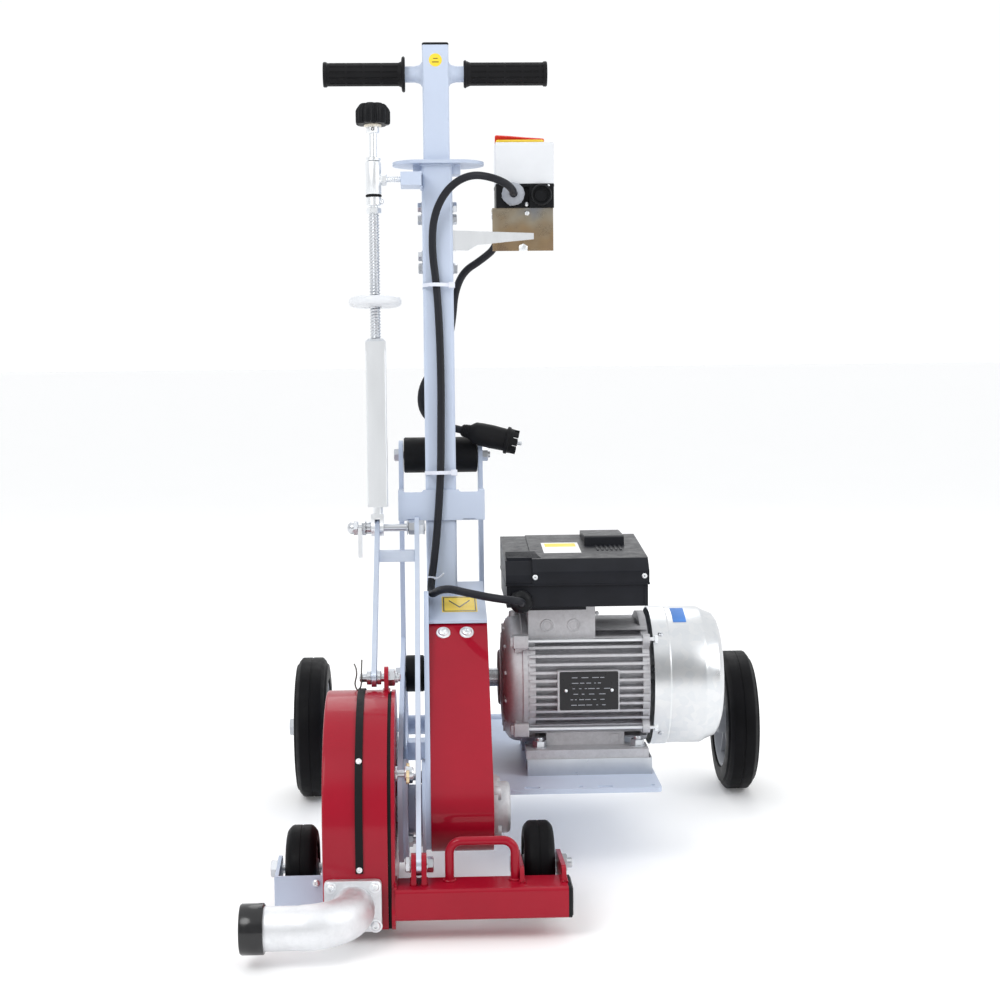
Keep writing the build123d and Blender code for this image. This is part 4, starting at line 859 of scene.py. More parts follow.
def make_end_shield():
    bm = bmesh.new()
    lathe(bm, (0, MOTOR_Y, MOTOR_Z), (1, 0, 0), [
        (13, 71), (33, 71), (35.4, 72), (36, 74.5), (54, 75.5), (56, 77), (66, 78), (73, 80.5),
        (78.6, 84.5),
        (81.6, 89.5), (82.6, 96), (83.0, 99.5), (84.4, 100), (84.4, 107)], 96)
    for y, z in TIE_PLACES:
        inner = (MOTOR_Y + 0.84 * (y - MOTOR_Y), MOTOR_Z + 0.84 * (z - MOTOR_Z))
        for low, high, half in ((88, 107, 8.5), (84, 100, 6.5)):
            plan = rounded([(y - half, z - half), (y + half, z - half), (y + half, z + half),
                            (y - half, z + half)], 2, 2)
            prism(bm, plan, "x", low, high)
        prism(bm, rounded(rectangle(sorted((inner[0] - 9, inner[0] + 9)), (inner[1] - 9, inner[1] + 9)), 3,
                          2),
              "x", 90, 105)
    lathe(bm, (92, MOTOR_Y, MOTOR_Z + 79), (0, 0, 1), [(6.5, 0), (6, 7), (5, 8), (2.6, 8), (2.4, 5)], 28)
    for k in range(12):
        spoke = bmesh.new()
        block(spoke, (76.6, 80.6), (-2.2, 2.2), (36, 70))
        spoke.transform(Matrix.Translation((0, MOTOR_Y, MOTOR_Z)) @ Matrix.Rotation(math.pi * (k + 0.5) / 6,
                                                                                    4, "X"))
        mesh = bpy.data.meshes.new("spoke")
        spoke.to_mesh(mesh)
        spoke.free()
        bm.from_mesh(mesh)
        bpy.data.meshes.remove(mesh)
    piece("end_shield_cast", bm, "frame", "cast_aluminium", 0.8,
          replaces=["motor_end_shield"])


def make_cowl():
    bm = bmesh.new()
    outer = [(90, 266), (90, 286), (88.8, 288), (88.8, 331), (87.4, 334), (84.3, 339), (82, 345), (80, 350),
             (74, 354.4), (65.7, 357.4), (56, 358.8), (54.6, 359.2)]
    inner = [(54.6, 357.6), (65, 355.8), (73, 352.8), (78.4, 349), (82.6, 338), (87, 330), (87, 288),
             (88.2, 286),
             (88.2, 266)]
    lathe(bm, (0, MOTOR_Y, MOTOR_Z), (1, 0, 0), outer + inner, 128, loop=True)
    for small, large in ((33.5, 37.5), (17, 21)):
        lathe(bm, (0, MOTOR_Y, MOTOR_Z), (1, 0, 0), [
            (small, 357.8), (small, 359.2), (large, 359.2), (large, 357.8)], 72, loop=True)
    lathe(bm, (0, MOTOR_Y, MOTOR_Z), (1, 0, 0), [(12, 357.8), (12, 359.2), (10, 359.8), (2, 360)], 48)
    for k in range(16):
        t = 2 * math.pi * k / 16
        a, b = Vector((-math.sin(t), math.cos(t), 0)), Vector((math.cos(t), math.sin(t), 0))
        corners = [b * r + a * w for r, w in ((11, -1.6), (55.5, -2.2), (55.5, 2.2), (11, 1.6))]
        prism(bm, [(MOTOR_Y + c.x, MOTOR_Z + c.y) for c in corners], "x", 357.9, 359.1)
    piece("cowl_shell", bm, "frame", "sheet_zinc", replaces=["fan_cowl"], sharp=28)
    bm = bmesh.new()
    for t in (-135, -45, 45, 135):
        way = (0, -math.sin(math.radians(t)), math.cos(math.radians(t)))
        foot = Vector((276, MOTOR_Y, MOTOR_Z)) + Vector(way) * 89.2
        dome_screw(bm, foot, way, 3.6, 2.4)
    piece("cowl_screws", bm, "frame", "zinc")
    bm = bmesh.new()
    tape = [arc((MOTOR_Y, MOTOR_Z), r, a, b, 14) for r, a, b in ((89.25, 96, 121), (88.9, 121, 96))]
    prism(bm, tape[0] + tape[1], "x", 294.5, 311.5)
    piece("cowl_tape", bm, "frame", "blue_tape")


def make_motor_fixings():
    bm = bmesh.new()
    for y, z in TIE_PLACES:
        bar_x(bm, (90, 268), y, z, 2.4, 16)
    for y, z in TIE_PLACES:
        plan = rounded(rectangle((y - 5.2, y + 5.2), (z - 5.2, z + 5.2)), 0.8, 2)
        prism(bm, plan, "x", 84.5, 90)
        hex_nut(bm, (267, 271.5), y, z, 9)
    piece("tie_rods", bm, "frame", "bright_zinc", 0.3, replaces=["motor_bolts"])
    bm = bmesh.new()
    for x in (120.5, 245.5):
        for y in (MOTOR_Y - 70, MOTOR_Y + 70):
            washer(bm, (x, y, FOOT_TOP), (0, 0, 1), 9.6, 1.6)
            nut(bm, (x, y, FOOT_TOP + 1.6), (0, 0, 1), 15.5, 7.6, 8)
            lathe(bm, (x, y, FOOT_TOP + 7), (0, 0, 1), [(5, 0), (5, 4.5), (4.4, 5.6), (2, 6.2)], 24)
    piece("foot_bolts", bm, "frame", "zinc")

    bm = bmesh.new()
    for x in (131.6, 165.6):
        ring_of(bm, (x, PAD_FRONT, 296), FORWARDS, 6.9, 8.2, -0.4, 0.9, 0.4, 40)
        ring_of(bm, (x, PAD_FRONT, 296), FORWARDS, 1.0, 5.4, -0.4, 0.25, 0.3, 40)
    for x in (213, 223):
        block(bm, (x - 0.6, x + 0.6), (178, 179.8), (144, 154))
    for z in (144, 154):
        block(bm, (212.4, 223.6), (178, 179.8), (z - 0.6, z + 0.6))
    lathe(bm, (197, PAD_FRONT + 20, 308), FORWARDS, [(2.4, -2), (2.4, 3), (1.6, 3.6)], 16)
    piece("casing_knockouts", bm, "frame", "cast_aluminium", 0.2)
    bm = bmesh.new()
    plan = rounded(rectangle((145.5, 219.5), (192, 241)), 1.6, 3)
    prism(bm, plan, "y", PLATE_FRONT - 0.7, PLATE_FRONT + 0.2)
    piece("nameplate", bm, "frame", "black_label", 0.2)
    bm = bmesh.new()
    for x in (153.4, 211.4):
        dome_screw(bm, (x, PLATE_FRONT - 0.6, 217), FORWARDS, 2.2, 1.3)
    piece("nameplate_rivets", bm, "frame", "bright_zinc")
    draw = random.Random(5)
    bm = bmesh.new()
    for row in range(6):
        x = 160 + draw.uniform(-3, 3)
        while x < 202:
            wide = draw.uniform(2, 9)
            block(bm, (x, x + wide), (PLATE_FRONT - 0.86, PLATE_FRONT - 0.6),
                  (233 - 7 * row, 233.9 - 7 * row))
            x += wide + draw.uniform(1.5, 6)
    piece("nameplate_rules", bm, "frame", "grey_plastic")


# ---------------------------------------------------------------- capacitor and terminal box
def lid_height(y):
    """Height of the lid's sloping top."""
    return 383 + (y - 165) * 12 / 165


def make_box():
    bm = bmesh.new()
    prism(bm, rounded([(151, 323), (150.4, 353), (329, 353), (329, 323)], [2, 0.5, 0.5, 2], 3), "x", 80,
          257.5)
    block(bm, (101, 180), (158, 322), (318.5, 325))
    lid = rounded([(148.6, 352), (148.6, 368), (165, lid_height(165)), (329.6, lid_height(329.6)),
                   (329.6, 352)], [0.5, 3, 5, 5, 0.5], 5)
    prism(bm, lid, "x", 112.5, 259)
    corner = rounded([(150.4, 352), (150.4, 357), (153, 364), (168, lid_height(165) - 2.5),
                      (329, lid_height(329) - 1), (329, 352)], [0.5, 2, 2, 5, 5, 0.5], 4)
    prism(bm, corner, "x", 79, 113)
    prism(bm, rounded(rectangle((148, 330), (350.8, 353.2)), 0.6, 2), "x", 78.6, 259.6)
    raised = [(248, lid_height(248) - 2), (251, 399), (255, 401), (322, 401), (326, lid_height(326) - 2)]
    prism(bm, rounded(raised, [0.5, 2, 3, 3, 0.5], 4), "x", 186, 238)
    for first, count in ((199, 6),):
        for k in range(count):
            x = first + 6 * k
            low, high = 212, 246
            rib = [(low, lid_height(low) - 0.6), (low + 1, lid_height(low) + 1.1),
                   (high - 1, lid_height(high) + 1.1), (high, lid_height(high) - 0.6)]
            prism(bm, rib, "x", x, x + 2.6)
    for k in range(6):
        y = 170 + 7.5 * k
        ridge = [(y, lid_height(y) - 2.6), (y + 0.6, lid_height(y) + 0.7),
                 (y + 3.2, lid_height(y + 3) + 0.7),
                 (y + 3.8, lid_height(y + 3) - 2.6)]
        prism(bm, ridge, "x", 81, 124 - k)
    for x in (84, 254):
        prism(bm, rounded(rectangle((149.4, 152), (325, 349)), 0.6, 2), "x", x - 1.2, x + 1.2)
    piece("box_housing", bm, "frame", "box_black", 1.0, replaces=["terminal_box"])
    bm = bmesh.new()
    for x in (115.6, 252.8):
        lathe(bm, (x, 149.4, 361.5), FORWARDS, [(3.4, -2), (3.4, 1.2), (2.6, 2.0), (1.4, 2.0), (1.2, 0.8)],
              24)
    piece("box_screws", bm, "frame", "bright_zinc")
    bm = bmesh.new()
    sheet = [(200, lid_height(200) - 0.2), (200, lid_height(200) + 0.25), (268, lid_height(268) + 0.25),
             (268, lid_height(268) - 0.2)]
    prism(bm, sheet, "x", 130, 178)
    piece("box_label", bm, "frame", "white_label")
    bm = bmesh.new()
    band = [(y, lid_height(y) + h) for y, h in ((240, 0.2), (240, 0.36), (262, 0.36), (262, 0.2))]
    prism(bm, band, "x", 134, 174)
    piece("box_label_band", bm, "frame", "yellow_label")


make_end_shield()
make_cowl()
make_motor_fixings()
make_box()


# ---------------------------------------------------------------- wheels, rollers and drum
def spokes(bm, x, y, z, inner, outer, count, width, span, turn=0.0):
    """Flat ribs between two radii of a wheel's disc."""
    for k in range(count):
        t = 2 * math.pi * (k + turn) / count
        a, b = Vector((-math.sin(t), math.cos(t))), Vector((math.cos(t), math.sin(t)))
        corners = [b * r + a * w for r, w in ((inner, -width / 2), (outer, -width * 0.36),
                                              (outer, width * 0.36), (inner, width / 2))]
        prism(bm, [(y + c.x, z + c.y) for c in corners], "x", x + span[0], x + span[1])


def mirrored(half):
    """A wheel's section from the outside face to the middle, and back again on the other side."""
    return half + [(-x, r) for x, r in reversed(half)]


def make_wheel(name, body, node, x, y, z, section, rim_r, half_rim, hub_r, half_hub, bore, wall, count):
    bm = bmesh.new()
    lathe(bm, (x, y, z), (1, 0, 0), [(r, h) for h, r in mirrored(section)], 96, loop=True)
    tread = piece(name + "_tyre", bm, body, "tyre", replaces=[node], sharp=24)
    bm = bmesh.new()
    rim = [(half_rim - 2, rim_r - 5), (half_rim, rim_r - 4), (half_rim, rim_r), (half_rim - 4, rim_r + 1)]
    profile = [(-a, r) for a, r in rim] + [(a, r) for a, r in reversed(rim)]
    lathe(bm, (x, y, z), (1, 0, 0), [(r, h) for h, r in profile + [(4, rim_r - 7), (-4, rim_r - 7)]], 80,
          loop=True)
    lathe(bm, (x, y, z), (1, 0, 0), [(hub_r - 1, wall / 2), (rim_r - 5, wall / 2), (rim_r - 5, -wall / 2),
                                     (hub_r - 1, -wall / 2)], 72, loop=True)
    lathe(bm, (x, y, z), (1, 0, 0), [(bore, -half_hub), (hub_r - 1.2, -half_hub), (hub_r, -half_hub + 1.2),
                                     (hub_r + 1, 0), (hub_r, half_hub - 1.2), (hub_r - 1.2, half_hub),
                                     (bore, half_hub)], 56, loop=True)
    for side in (-1, 1):
        span = sorted((side * (wall / 2 - 0.2), side * (half_rim - 6)))
        spokes(bm, x, y, z, hub_r - 0.5, rim_r - 4, count, 4.5, span)
    piece(name + "_rim", bm, body, "rim_grey", 0.5)
    return tread


REAR_TYRE = [(-22.4, 69), (-23, 71), (-23, 84), (-22.2, 89.5), (-19.6, 92), (-18.6, 95), (-14.8, 99.4),
             (-13.4, 100), (-1.3, 100), (-0.6, 99.3)]
FRONT_TYRE = [(-16.6, 32), (-17.4, 33.5), (-17.8, 39), (-17, 43), (-15, 46), (-12, 49), (-9.5, 50),
              (-1.0, 50), (-0.5, 49.5)]


def make_wheels():
    for side, x in (("left", -187), ("right", 425)):
        make_wheel(f"{side}_rear", f"{side}_rear_wheel", f"{side}_rear_wheel", x, *REAR_AXLE, REAR_TYRE,
                   68, 20, 19, 25, 10.1, 9, 6)
    for side, x in (("left", -167), ("right", 106)):
        make_wheel(f"{side}_front", f"{side}_front_wheel", f"{side}_front_wheel", x, *FRONT_AXLE,
                   FRONT_TYRE,
                   31, 15, 11, 18.5, 6.1, 7, 5)


def make_rollers():
    for name, x, (y, z) in (("upper_roller", (-49, 50), UPPER_ROLLER),
                            ("lower_roller", (-49, -25), LOWER_ROLLER)):
        bm = bmesh.new()
        low, high = x
        lathe(bm, (0, y, z), (1, 0, 0), [
            (5.1, low + 1), (9, low + 1), (10, low + 3), (20, low + 3), (21, low + 0.4), (22.6, low),
            (24, low + 1.6),
            (24, high - 1.6), (22.6, high), (21, high - 0.4), (20, high - 3), (10, high - 3), (9, high - 1),
            (5.1, high - 1)], 72, loop=True)
        piece(name + "_rubber", bm, name, "black_rubber", replaces=[name])


def make_drum():
    bm = bmesh.new()
    teeth = 22

    def tooth(t, r, h):
        if r < 95:
            return r
        wave = (teeth * t / (2 * math.pi) + 0.5 * round(h / 11.6)) % 1
        return r if wave < 0.42 else 93

    lathe(bm, (0, 0, SHAFT_Z), (1, 0, 0), [(15.1, -130), (82, -130), (84, -128), (84, -74), (82, -72),
                                           (15.1, -72)],
          96, loop=True)
    for k in range(5):
        x = -130 + 11.6 * k
        lathe(bm, (0, 0, SHAFT_Z), (1, 0, 0), [(83, x + 2), (100, x + 2), (103, x + 3.4), (103, x + 8.2),
                                               (100, x + 9.6), (83, x + 9.6)], 264, loop=True, lobe=tooth)
    piece("drum_cutters", bm, "drum", "machined_steel", replaces=["grinding_drum"])


make_wheels()
make_rollers()
make_drum()


# ---------------------------------------------------------------- bolts
LEFT_X, CENTRE_X, RIGHT_X, PLATE = -56.0, -24.0, 51.0, 6.0
HUB_CIRCLE, HUB_ANGLES = 38, (-120, -60, 0, 60)


def make_frame_bolts():
    bm = bmesh.new()
    for (y, z), end in ((UPPER_ROLLER, RIGHT_X + PLATE), (LOWER_ROLLER, CENTRE_X + PLATE)):
        bar_x(bm, (LEFT_X - 4, end + 11), y, z, 5, 20)
        hex_nut(bm, (LEFT_X, LEFT_X - 6.5), y, z, 16, 10)
        hex_nut(bm, (end, end + 8), y, z, 16, 20)
    for inner, outer in ((-214, -221.6), (452, 460)):
        hex_nut(bm, (inner, outer), *REAR_AXLE, 23, 15)
        foot, axis = along_x((outer, outer * 1.1), *REAR_AXLE)
        lathe(bm, foot, axis, [(8, -2), (8, 0), (6.4, 0.4)], 28)
    for a in HUB_ANGLES:
        y, z = HUB_CIRCLE * math.cos(math.radians(a)), SHAFT_Z + HUB_CIRCLE * math.sin(math.radians(a))
        for x in ((LEFT_X + PLATE + 6, LEFT_X + PLATE + 11), (CENTRE_X - 4, CENTRE_X - 9)):
            hex_nut(bm, x, y, z, 13, a)
        bar_x(bm, (LEFT_X - 0.4, CENTRE_X + PLATE), y, z, 4, 16)
    piece("frame_fasteners", bm, "frame", "zinc", replaces=["frame_bolts"])
    bm = bmesh.new()
    for side in (-1, 1):
        for z in (832, 816, 768, 752):
            if side < 0 or z != 768:
                washer(bm, (side * 20, 6, up_mast(z)), (side, 0, 0), 7.6, 1.2, 1.5)
                nut(bm, (side * 21.2, 6, up_mast(z)), (side, 0, 0), 12, 4.6, z)
    piece("mast_screws", bm, "frame", "zinc", place=MAST)

    bm = bmesh.new()
    low, top = (0.0, SHAFT_Z, 50.0), (152.0, 300.5, 5.0)
    reach = math.hypot(top[0] - low[0], top[1] - low[1])
    turn = math.atan2(top[1] - low[1], top[0] - low[0]) + math.acos((low[2] - top[2]) / reach)
    out = Vector((0, math.cos(turn), math.sin(turn)))
    foot = Vector((0, top[0], top[1])) + out * top[2] + Vector((0, -math.sin(turn), math.cos(turn))) * 14
    for x in (0, 29):
        where = foot + Vector((x, 0, 0))
        lathe(bm, where, out, [(9, 0), (9, 0.8), (8.4, 1.5), (6.6, 1.7), (6.4, 3.0), (5.4, 4.3), (3.6, 4.8),
                               (2.7, 4.8),
                               (2.4, 3.0)], 40)
    piece("cover_screws", bm, "frame", "bright_zinc")


def make_linkage_bolts():
    y, z = LINK
    bm = bmesh.new()
    bar_x(bm, (-116, -21), y, z, 5, 24)
    lathe(bm, (-113.5, y, z), (-1, 0, 0), [(8, 0), (8, 2), (7.2, 5), (5, 7.4), (2, 8.3)], 32)
    for x in ((-113.5, -108), (-98, -103), (-35, -43), (-29, -22)):
        hex_nut(bm, x, y, z, 16.5, 10 + abs(x[0]))
    for x in (-98, -43.6, -22):
        washer(bm, (x, y, z), (-1, 0, 0), 9.6, 1.4)
    ring_of(bm, (0, y, z), (1, 0, 0), 4, 8, -97.8, -91.2, 0.6, 36)
    threaded(bm, (-75.5, y, z), (1, 0, 0), 4.9, 30, 3.0, 0.7)
    piece("link_bolt", bm, "carriage", "zinc", replaces=["carriage_bolts"])
    bm = bmesh.new()
    tip = (y - 6, z - 38)
    across = Vector((tip[1] - z, y - tip[0])).normalized()
    plan = [(y + 12 * math.cos(t), z + 12 * math.sin(t)) for t in
            (math.atan2(across.y, across.x) + math.pi * k / 12 for k in range(13))]
    plan += [(tip[0] + 7 * math.cos(t), tip[1] + 7 * math.sin(t)) for t in
             (math.atan2(across.y, across.x) + math.pi + math.pi * k / 10 for k in range(11))]
    prism(bm, plan, "x", -108, -103)
    piece("link_lever", bm, "carriage", "bright_zinc", 0.8)

    bm = bmesh.new()
    y, z = CLEVIS
    bar_x(bm, (-45, -18), y, z, 5, 24)
    hex_nut(bm, (-41, -47), y, z, 15.5, 25)
    hex_nut(bm, (-23, -15.5), y, z, 15.5, 5)
    for x in (-41, -22):
        washer(bm, (x, y, z), (-1, 0, 0), 9, 1.3)
    y, z = GUARD_PIN
    bar_x(bm, (-100, -56), y, z, 5, 24, 1.2)
    hex_nut(bm, (-66, -58), y, z, 18, 5)
    lathe(bm, (-58, y, z), (1, 0, 0), [(6.5, 0), (6.5, 2.4), (5, 3.6), (5, 5.5), (3, 6.4)], 28)
    for x in ((-79.8, -74.5), (-91.5, -86.2)):
        ring_of(bm, (0, y, z), (1, 0, 0), 4, 8.2, min(x), max(x), 0.7, 36)
    y, z = FRONT_AXLE
    bar_x(bm, (-203, -139.5), y, z, 5.9, 24, 1.0)
    hex_nut(bm, (-196, -204), y, z, 18.5, 12)
    washer(bm, (-195, y, z), (-1, 0, 0), 11, 1.4)
    bar_x(bm, (78, 146), y, z, 5.9, 24, 1.0)
    hex_nut(bm, (80, 73), y, z, 18.5, 12)
    hex_nut(bm, (132, 140), y, z, 18.5, 20)
    washer(bm, (133.6, y, z), (-1, 0, 0), 12, 1.6)
    piece("carriage_fasteners", bm, "carriage", "zinc")

    bm = bmesh.new()
    y, z = GUARD_PIN
    clip = through([(-97, y - 1, z + 22), (-97.6, y - 5, z + 8), (-97.6, y - 6, z - 2),
                    (-99, y - 6, z - 10),
                    (-103, y - 4, z - 13), (-105.4, y - 3, z - 6), (-103.4, y - 4, z + 4),
                    (-103.8, y - 5, z + 12),
                    (-106, y - 5, z + 18)], 6)
    tube(bm, clip, 0.9, 10)
    piece("cotter_clip", bm, "carriage", "dark_steel")


def make_wing_screw():
    bm = bmesh.new()
    foot = (-57.4, -80, 172)
    lathe(bm, foot, (1, 0, 0), [(3, -4.4), (3, 0), (8.6, 0.2), (8.6, 2.2), (4.2, 2.6), (4.2, 10), (8, 10.4),
                                (8.4, 12),
                                (7.4, 19), (6.4, 20.4), (3, 20.8)], 36)
    piece("wing_hub", bm, "wing_screw", "zinc", replaces=["wing_screw"])
    bm = bmesh.new()
    for side in (-1, 1):
        wing = [(side * a - 80, 172 + side * b) for a, b in
                ((3, -5), (9, -6), (15, -5), (18.5, 0), (18, 6), (14, 9), (10, 7), (7, 3), (3, 5))]
        prism(bm, rounded(wing, 2.2, 3), "x", -45.2, -41.6)
    piece("wings", bm, "wing_screw", "brass", 0.9)


# ---------------------------------------------------------------- suction elbow and the cross bar's ends
PORT_X, PORT_Z, ELBOW_R = -104.5, 41.0, 23.5


def make_elbow():
    front = -140 - 9
    bend, turn = 55.0, -215 + 55.0
    path = [(PORT_X, front + 1, PORT_Z), (PORT_X, front - 5, PORT_Z)]
    path += [(PORT_X - bend + bend * math.cos(a), turn + bend * math.sin(a), PORT_Z)
             for a in (-math.pi / 2 * k / 20 for k in range(21))]
    path += [(-175, -215, PORT_Z), (-196, -215, PORT_Z), (-219, -215, PORT_Z)]
    bm = bmesh.new()
    steps = 48
    pts = [Vector(p) for p in path]
    side, shells = None, {ELBOW_R: [], ELBOW_R - 3: []}
    for i, p in enumerate(pts):
        ahead = (pts[min(i + 1, len(pts) - 1)] - pts[max(i - 1, 0)]).normalized()
        side = ahead.orthogonal() if side is None else side
        side = (side - ahead * side.dot(ahead)).normalized()
        other = ahead.cross(side)
        for r in shells:
            swell = 1 + (0.03 if 0 < i < len(pts) - 4 else 0.0)
            shells[r].append([p + r * swell * (math.cos(t) * side + math.sin(t) * other)
                              for t in (2 * math.pi * k / steps for k in range(steps))])
    skin(bm, shells[ELBOW_R] + shells[ELBOW_R - 3][::-1], loop=True)
    plan = rounded(rectangle((PORT_X - 31.5, PORT_X + 31.5), (PORT_Z - 28.5, PORT_Z + 29)), 6, 5)
    hole = [(PORT_X + 21 * math.cos(t), PORT_Z + 21 * math.sin(t)) for t in
            (2 * math.pi * k / len(plan) for k in range(len(plan)))]
    start = min(range(len(plan)),
                key=lambda i: math.atan2(plan[i][1] - PORT_Z, plan[i][0] - PORT_X) % (2 * math.pi))
    plan = plan[start:] + plan[:start]
    rings = [(plan, -140.2), (plan, front), (hole, front), (hole, -140.2)]
    skin(bm, [[Vector((x, y, z)) for x, z in ring] for ring, y in rings], loop=True)
    piece("elbow_cast", bm, "carriage", "elbow_cast", 0.8, replaces=["suction_elbow"])
    bm = bmesh.new()
    for dx, dz, radius in ((-24.5, 22, 4.4), (24.5, 22, 4.4), (-24.5, -21.5, 4.4), (24.5, -21.5, 5.6)):
        foot = (PORT_X + dx, front, PORT_Z + dz)
        washer(bm, foot, FORWARDS, radius + 2, 1.1)
        dome_screw(bm, (foot[0], front - 1, foot[2]), FORWARDS, radius, 0.75 * radius)
    piece("elbow_screws", bm, "carriage", "bright_zinc")
    bm = bmesh.new()
    lathe(bm, (0, -215, PORT_Z), (-1, 0, 0), [
        (ELBOW_R, 196), (26.2, 195.2), (27, 196.4), (27, 218.6), (25.8, 220.6), (23.6, 221), (21.4, 220.6),
        (20.5, 219)], 72, loop=True)
    piece("elbow_sleeve", bm, "carriage", "black_gloss", replaces=["elbow_cuff"])

    x = 132.5
    bm = bmesh.new()
    plan = rounded(rectangle((-155, -105), (25, 60)), 4, 4)
    inset = rounded(rectangle((-153, -107), (27, 58)), 3, 4)
    skin(bm, [[Vector((h, y, z)) for y, z in ring] for ring, h in
              ((plan, x), (plan, x + 3.4), (inset, x + 4.8), (inset, x + 5))])
    piece("crossbar_end", bm, "carriage", "black_plastic", replaces=["crossbar_cap"])


# ---------------------------------------------------------------- ties, labels, welds and small fittings
def make_ties():
    bm = bmesh.new()
    for z, lead in ((727, -30), (483, -31)):
        level = up_mast(z)
        hug = [(-20.8, 20.8), (20.8, 20.8), (20.8, -20.8), (9, lead - 2), (-4, lead - 6), (-12, lead - 4),
               (-20.8, -20.8)]
        outer = rounded(hug, [4, 4, 4, 5, 7, 6, 4], 5)
        centre = Vector((0, -4))
        inner = [tuple(centre + (Vector(p) - centre) * 0.965) for p in outer]
        skin(bm, [[Vector((x, y, level + h)) for x, y in ring] for ring, h in
                  ((outer, -2.4), (outer, 2.4), (inner, 2.4), (inner, -2.4))], loop=True)
        stack(bm, (4.2, 3.2), 1.2, [(0.6, level - 4), (0, level - 3.2), (0, level + 3.2), (0.6, level + 4)],
              (17.5, -25.4))
    piece("tie_bands", bm, "frame", "tie_plastic", 0.3, place=MAST,
          replaces=["cable_ties"])
    bm = bmesh.new()
    tube(bm, [(-10, 241, 349), (-5, 238, 350.5), (-1, 236, 353.5), (2, 234, 357)], 1.1, 8)
    ring_of(bm, (-13, 247, 349.5), (-0.15, -0.25, -1), 4.9, 6.3, -1.2, 1.2, 0.4, 32)
    piece("corner_tie", bm, "frame", "tie_plastic")


TOP_SLOPE = 25.4 / 169


def on_slope(y, lift):
    """Height of a point on the sloping top plate, lifted by a little."""
    return 309.4 + TOP_SLOPE * (y - 146) + lift


def make_labels():
    def sheet(name, x, y, lift, material):
        bm = bmesh.new()
        low, high = y
        side = [(low, on_slope(low, lift - 0.2)), (low, on_slope(low, lift)), (high, on_slope(high, lift)),
                (high, on_slope(high, lift - 0.2))]
        prism(bm, side, "x", *x)
        piece(name, bm, "frame", material)

    sheet("plate_label", (-1, 44), (180, 246), 0.25, "yellow_label")
    bm = bmesh.new()
    inner, outer = [(2, 41), (185, 241)], [(0.6, 42.4), (182.4, 243.6)]
    rings = [[(x, y, on_slope(y, lift)) for x, y in rectangle(*box)] for box, lift in
             ((outer, 0.2), (outer, 0.4), (inner, 0.4), (inner, 0.2))]
    skin(bm, [[Vector(p) for p in ring] for ring in rings], loop=True)
    for a, b in (((8, 228), (21.5, 200)), ((21.5, 200), (35, 228))):
        bar = [(a[0], a[1] - 2.5), (a[0], a[1] + 2.5), (b[0], b[1] + 2.5), (b[0], b[1] - 2.5)]
        skin(bm, [[Vector((x, y, on_slope(y, lift))) for x, y in bar] for lift in (0.2, 0.4)])
    piece("plate_label_marks", bm, "frame", "black_label")


def make_fittings():
    bm = bmesh.new()
    for angle, height in ((-118, None), (None, 72)):
        x = -97.2
        if angle is None:
            foot, way = (x, -141.5, height + 8), FORWARDS
        else:
            t = math.radians(180 - 36.8)
            way = (0, math.cos(t), math.sin(t))
            foot = (x, 142 * way[1], SHAFT_Z + 142 * way[2])
        dome_screw(bm, foot, way, 3.6, 2.2)
    dome_screw(bm, (-148, -94, 52), FORWARDS, 4.4, 3.0)
    piece("guard_screws", bm, "carriage", "bright_zinc")

    bm = bmesh.new()
    for x in (2, 75):
        ring = [(x + 5.6 * math.cos(t), -122 + 5.6 * math.sin(t), 60.6) for t in
                (2 * math.pi * k / 20 for k in range(20))]
        bead(bm, ring, 1.7, round(x), loop=True)
    for x in (-41, -35, -29, -23.2, 80, 85, 127, 132):
        bead(bm, [(x, -138, 60.6), (x, -112, 60.6)], 1.3, round(abs(x)))
    bead(bm, [(-58, -152, 61), (-58, -108, 61)], 1.8, 4)
    for x in (-71.4, -65.8):
        bead(bm, [(x, -2, 249.2), (x, 20, 248.2), (x, 34, 246.4)], 1.5, 7)
    piece("red_welds", bm, "carriage", "red_paint")
    bm = bmesh.new()
    half = 20.4
    level = up_mast(884)
    for side in (-1, 1):
        bead(bm, [(side * half, -19, level), (side * half, 19, level)], 1.5, 11)
        bead(bm, [(-19, side * half, level), (19, side * half, level)], 1.5, 12)
    for z in (852.5, 871.5):
        bead(bm, [(-half, -42, up_mast(z)), (-half, -14, up_mast(z))], 1.5, 13)
    piece("mast_welds", bm, "frame", "frame_grey", place=MAST)


make_frame_bolts()
make_linkage_bolts()
make_wing_screw()
make_elbow()
make_ties()
make_labels()
make_fittings()


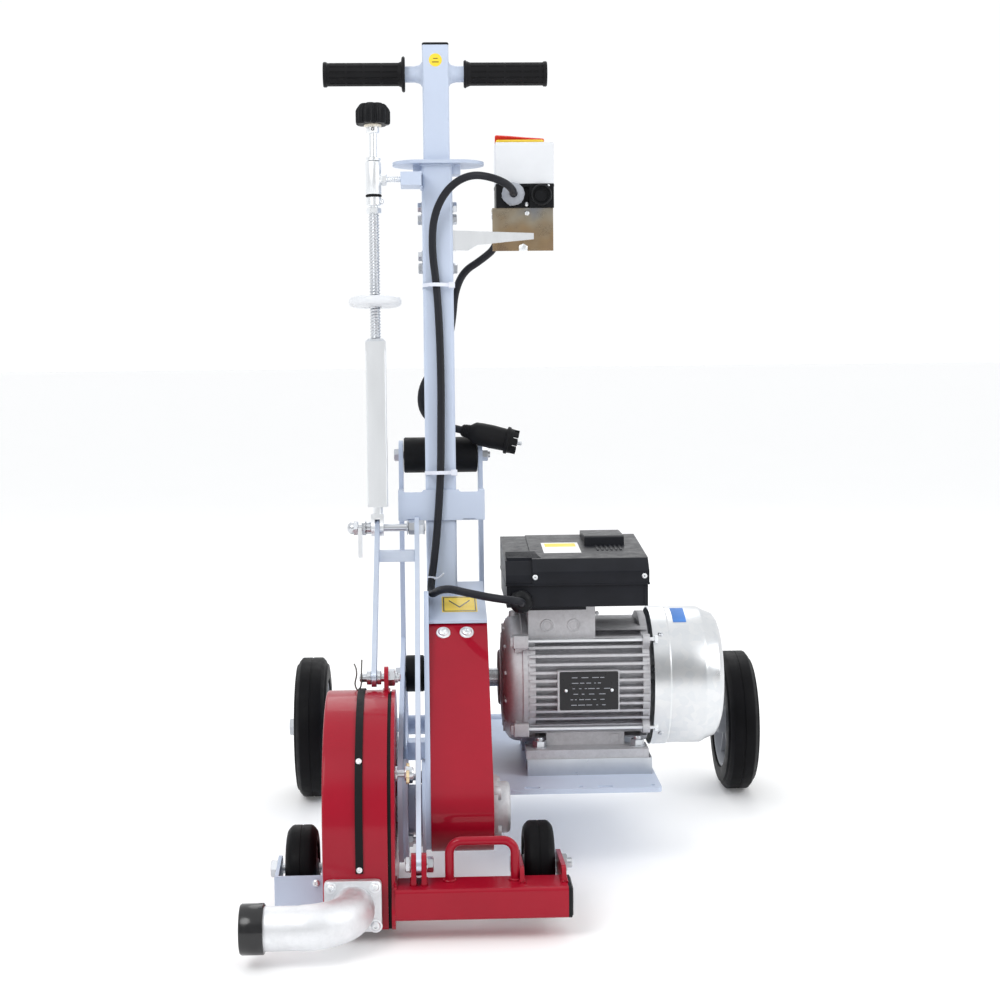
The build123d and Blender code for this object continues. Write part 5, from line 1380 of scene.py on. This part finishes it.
# ---------------------------------------------------------------- floor and light
def make_studio():
    bm = bmesh.new()
    block(bm, (-30000, 30000), (-30000, 30000), (-6, 0))
    bm.transform(DESIGN)
    mesh = bpy.data.meshes.new("floor")
    bm.to_mesh(mesh)
    bm.free()
    ground = Paint("floor", (0.93, 0.93, 0.93), 0.6)
    ground.mottle(ground.noise(3), 0.01)
    ground.set(Emission_Color=(1, 1, 1, 1), Emission_Strength=0.10)
    mesh.materials.append(ground.material)
    floor = bpy.data.objects.new("floor", mesh)
    bpy.context.scene.collection.objects.link(floor)
    world = bpy.data.worlds.new("studio")
    world.use_nodes = True
    tree = world.node_tree
    sky = tree.nodes["Background"]
    sky.inputs["Color"].default_value = (0.98, 0.99, 1.0, 1)
    place = tree.nodes.new("ShaderNodeTexCoord")
    split = tree.nodes.new("ShaderNodeSeparateXYZ")
    tree.links.new(place.outputs["Generated"], split.inputs["Vector"])
    walls = []
    for side, low, high, dark, bright in (("Y", -0.7, 0.3, 0.48, 1.03), ("Z", 0.25, 0.9, 0.0, 1.08)):
        spread = tree.nodes.new("ShaderNodeMapRange")
        spread.interpolation_type = "SMOOTHSTEP"
        for key, value in (("From Min", low), ("From Max", high), ("To Min", dark), ("To Max", bright)):
            spread.inputs[key].default_value = value
        tree.links.new(split.outputs[side], spread.inputs["Value"])
        walls.append(spread.outputs["Result"])
    most = tree.nodes.new("ShaderNodeMath")
    most.operation = "MAXIMUM"
    for wall, socket in zip(walls, most.inputs):
        tree.links.new(wall, socket)
    tree.links.new(most.outputs[0], sky.inputs["Strength"])
    bpy.context.scene.world = world
    lamps = [("key", (-1300, -1700, 2300), 1.5, 30), ("side", (2100, -900, 1500), 1.4, 16),
             ("back", (300, 2600, 2600), 2.4, 20)]
    for name, place, size, power in lamps:
        lamp = bpy.data.lights.new(name, "AREA")
        lamp.shape = "DISK"
        lamp.size = size
        lamp.energy = power
        obj = bpy.data.objects.new(name, lamp)
        bpy.context.scene.collection.objects.link(obj)
        obj.location = at(*place)
        obj.rotation_euler = (at(100, 200, 400) - obj.location).to_track_quat("-Z", "Y").to_euler()
    bpy.context.scene.view_settings.view_transform = "Standard"


make_studio()
